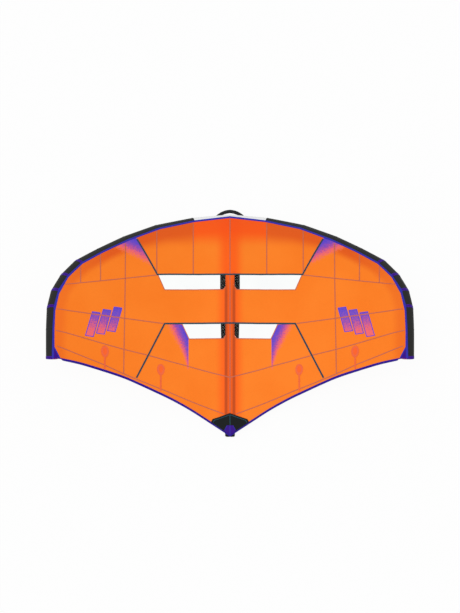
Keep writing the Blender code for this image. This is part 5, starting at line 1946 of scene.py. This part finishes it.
hose = round_piece("hose_tube", swept(hose_path, up, hose_ring), black_hose_rubber, 60)
collar_profile = ((hose_radius, flange_gap), (hose_flange_radius, flange_gap),
                  (hose_flange_radius, flange_gap + hose_flange / 2),
                  (hose_flange_radius - flange_round, flange_gap + hose_flange),
                  (hose_radius + 0.0024, 0.0016), (hose_radius + 0.0010, 0.0021),
                  (hose_radius + 0.0006, 0.0030), (hose_radius, 0.0032))
collars = []
for name, port in (("tube", hose_seat), ("strut", strut_port)):
    rings = [round_bar(port, radius, height, height, port_sides)[0]
             for radius, height in collar_profile]
    collars.append(round_piece(f"hose_collar_{name}", rings, black_hose_rubber, caps=()))
settle(joined("air_hose_ribbed", [hose, *collars]), "black_hose_rubber", "air_hose")


# Geometry Nodes repeat small things along lines: stitches along every sewn edge, and the zip's
# teeth. A copy's X lies along the line and its Z out of the surface.
stitch_pitch = 0.0085
stitch_length = 0.0052
stitch_radius = 0.0005
stitch_flatness = 1.3          # a stitch is this much wider than high
stitch_sides = 5
stitch_profile = ((-1.0, 0.45), (-0.6, 1.0), (0.6, 1.0), (1.0, 0.45))
repeat_tree = bpy.data.node_groups.new("repeat_along_lines", "GeometryNodeTree")
repeat_tree.is_modifier = True
for socket, kind, direction in (
    ("Lines", "NodeSocketGeometry", "INPUT"), ("Unit", "NodeSocketObject", "INPUT"),
    ("Pitch", "NodeSocketFloat", "INPUT"), ("Finish", "NodeSocketMaterial", "INPUT"),
    ("Copies", "NodeSocketGeometry", "OUTPUT"),
):
    repeat_tree.interface.new_socket(socket, in_out=direction, socket_type=kind)


def repeat_node(kind, inputs=None, **settings):
    return add_node(repeat_tree, kind, inputs, **settings).outputs


given = repeat_node("NodeGroupInput")
as_curve = repeat_node("GeometryNodeMeshToCurve", {"Mesh": given["Lines"]})
spaced = repeat_node("GeometryNodeResampleCurve",
                     {"Curve": as_curve["Curve"], "Length": given["Pitch"]}, mode="LENGTH")
run_of = repeat_node("GeometryNodeInputTangent")
out_of = repeat_node("GeometryNodeInputNamedAttribute", {"Name": "out"},
                     data_type="FLOAT_VECTOR")
along_line = repeat_node("FunctionNodeAlignRotationToVector", {"Vector": run_of["Tangent"]},
                         axis="X")
out_of_cloth = repeat_node("FunctionNodeAlignRotationToVector",
                           {"Rotation": along_line["Rotation"], "Vector": out_of["Attribute"]},
                           axis="Z", pivot_axis="X")
unit_shape = repeat_node("GeometryNodeObjectInfo", {"Object": given["Unit"]})
copies = repeat_node("GeometryNodeInstanceOnPoints",
                     {"Points": spaced["Curve"], "Instance": unit_shape["Geometry"],
                      "Rotation": out_of_cloth["Rotation"]})
real_copies = repeat_node("GeometryNodeRealizeInstances", {"Geometry": copies["Instances"]})
painted = repeat_node("GeometryNodeSetMaterial",
                      {"Geometry": real_copies["Geometry"], "Material": given["Finish"]})
add_node(repeat_tree, "NodeGroupOutput", {"Copies": painted["Geometry"]})


def repeated(name, lines, unit_rings, pitch, finish):
    """Copies of a small shape along lines of places and directions, as one mesh."""
    places, outs, edges = [], [], []
    for line in lines:
        first = len(places)
        places += [place for place, _ in line]
        outs += [number for _, out in line for number in out]
        edges += [(index, index + 1) for index in range(first, len(places) - 1)]
    mesh = bpy.data.meshes.new(f"{name}_lines")
    mesh.from_pydata(places, edges, [])
    mesh.attributes.new("out", "FLOAT_VECTOR", "POINT").data.foreach_set("vector", outs)
    holder = bpy.data.objects.new(f"{name}_lines", mesh)
    unit = round_piece(f"{name}_unit", unit_rings, finish, 50)
    bpy.context.collection.objects.link(holder)
    modifier = holder.modifiers.new("repeat", "NODES")
    modifier.node_group = repeat_tree
    for socket, value in (("Unit", unit), ("Pitch", pitch), ("Finish", finish)):
        modifier[repeat_tree.interface.items_tree[socket].identifier] = value
    ready = holder.evaluated_get(bpy.context.evaluated_depsgraph_get())
    made = bpy.data.meshes.new_from_object(ready)
    for spare in (holder, unit):
        bpy.data.objects.remove(spare)
    return plain_piece(name, made, finish)


stitch_rings = [[Vector((reach * stitch_length / 2,
                         math.cos(turn) * thick * stitch_radius * stitch_flatness,
                         math.sin(turn) * thick * stitch_radius))
                 for turn in angles_round(stitch_sides)]
                for reach, thick in stitch_profile]
thread_looks = {
    "seam": ("orange_patch_cloth", (214, 96, 44), (226, 108, 54)),
    "tape": ("navy_tape_cloth", (62, 84, 96), (76, 98, 110)),
    "casing": ("charcoal_tube_cloth", (52, 52, 50), (66, 66, 63)),
    "purple": ("purple_tape_cloth", (104, 62, 190), (120, 78, 204)),
    "webbing": ("black_webbing", (70, 72, 75), (88, 90, 93)),
}
for thread, (slot, dark, light) in thread_looks.items():
    finish = cloth_finish(f"{thread}_thread", dark, light, 0.5, 0.0008, 0.6, 20.0, "Object")
    for side, side_name in side_names.items():
        lines = [line for line in stitch_lines[thread]
                 if side * (sum(place.x for place, _ in line) + 1e-6) > 0]
        if lines:
            settle(repeated(f"{thread}_stitches_{side_name}", lines, stitch_rings, stitch_pitch,
                            finish), slot)

# The zip: a black tape with a row of moulded teeth along each side of its opening.
zip_length = 0.200
zip_tape_width = 0.026
zip_tape_wall = 0.0010
tooth_pitch = 0.0025
tooth_half = (0.00055, 0.00115, 0.0008)
teeth_margin = 0.003
teeth_from_middle = 0.0012
zip_steps = 40
zip_across = zip_seat.col[1].to_3d()
zip_out = zip_seat.col[2].to_3d()
zip_path = [zip_seat @ Vector((zip_length * (step / zip_steps - 0.5), 0,
                               webbing_gap + zip_tape_wall / 2))
            for step in range(zip_steps + 1)]
tape = webbing_along("zip_cloth", zip_path, zip_across, zip_tape_width, zip_tape_wall)
tooth_rings = [[Vector((tooth_half[0] * a, reach * tooth_half[1], tooth_half[2] * b * size))
                for a, b in ((-1, -1), (-1, 0.6), (-0.6, 1), (0.6, 1), (1, 0.6), (1, -1))]
               for reach, size in ((-1.0, 0.8), (-0.7, 1.0), (0.7, 1.0), (1.0, 0.8))]
teeth_lines = []
for side in (-1, 1):
    ends = [side_end * (zip_length / 2 - teeth_margin) + side * tooth_pitch / 4
            for side_end in (-1, 1)]
    height = webbing_gap + zip_tape_wall + tooth_half[2]
    teeth_lines.append([(zip_seat @ Vector((reach, side * teeth_from_middle, height)), zip_out)
                        for reach in ends])
black_plastic = moulded("black_plastic", (26, 27, 29), (36, 37, 39), 0.38)
grey_plastic = moulded("grey_plastic", (116, 119, 123), (132, 135, 139), 0.42)
teeth = repeated("zip_teeth", teeth_lines, tooth_rings, tooth_pitch, black_plastic)
settle(tape, "black_plastic", "zip_tape")
settle(teeth, "black_plastic")

# The valve, the hose's clip and the zip's slider are hard mouldings and keep their CAD shapes.
for name, finish in (("valve_base", grey_plastic), ("valve_plug", black_plastic),
                     ("valve_cap", black_plastic), ("clip_body", grey_plastic),
                     ("clip_lever", black_plastic), ("zip_slider", grey_plastic)):
    node = frame["nodes"][name]
    node.data.materials.clear()
    node.data.materials.append(finish)
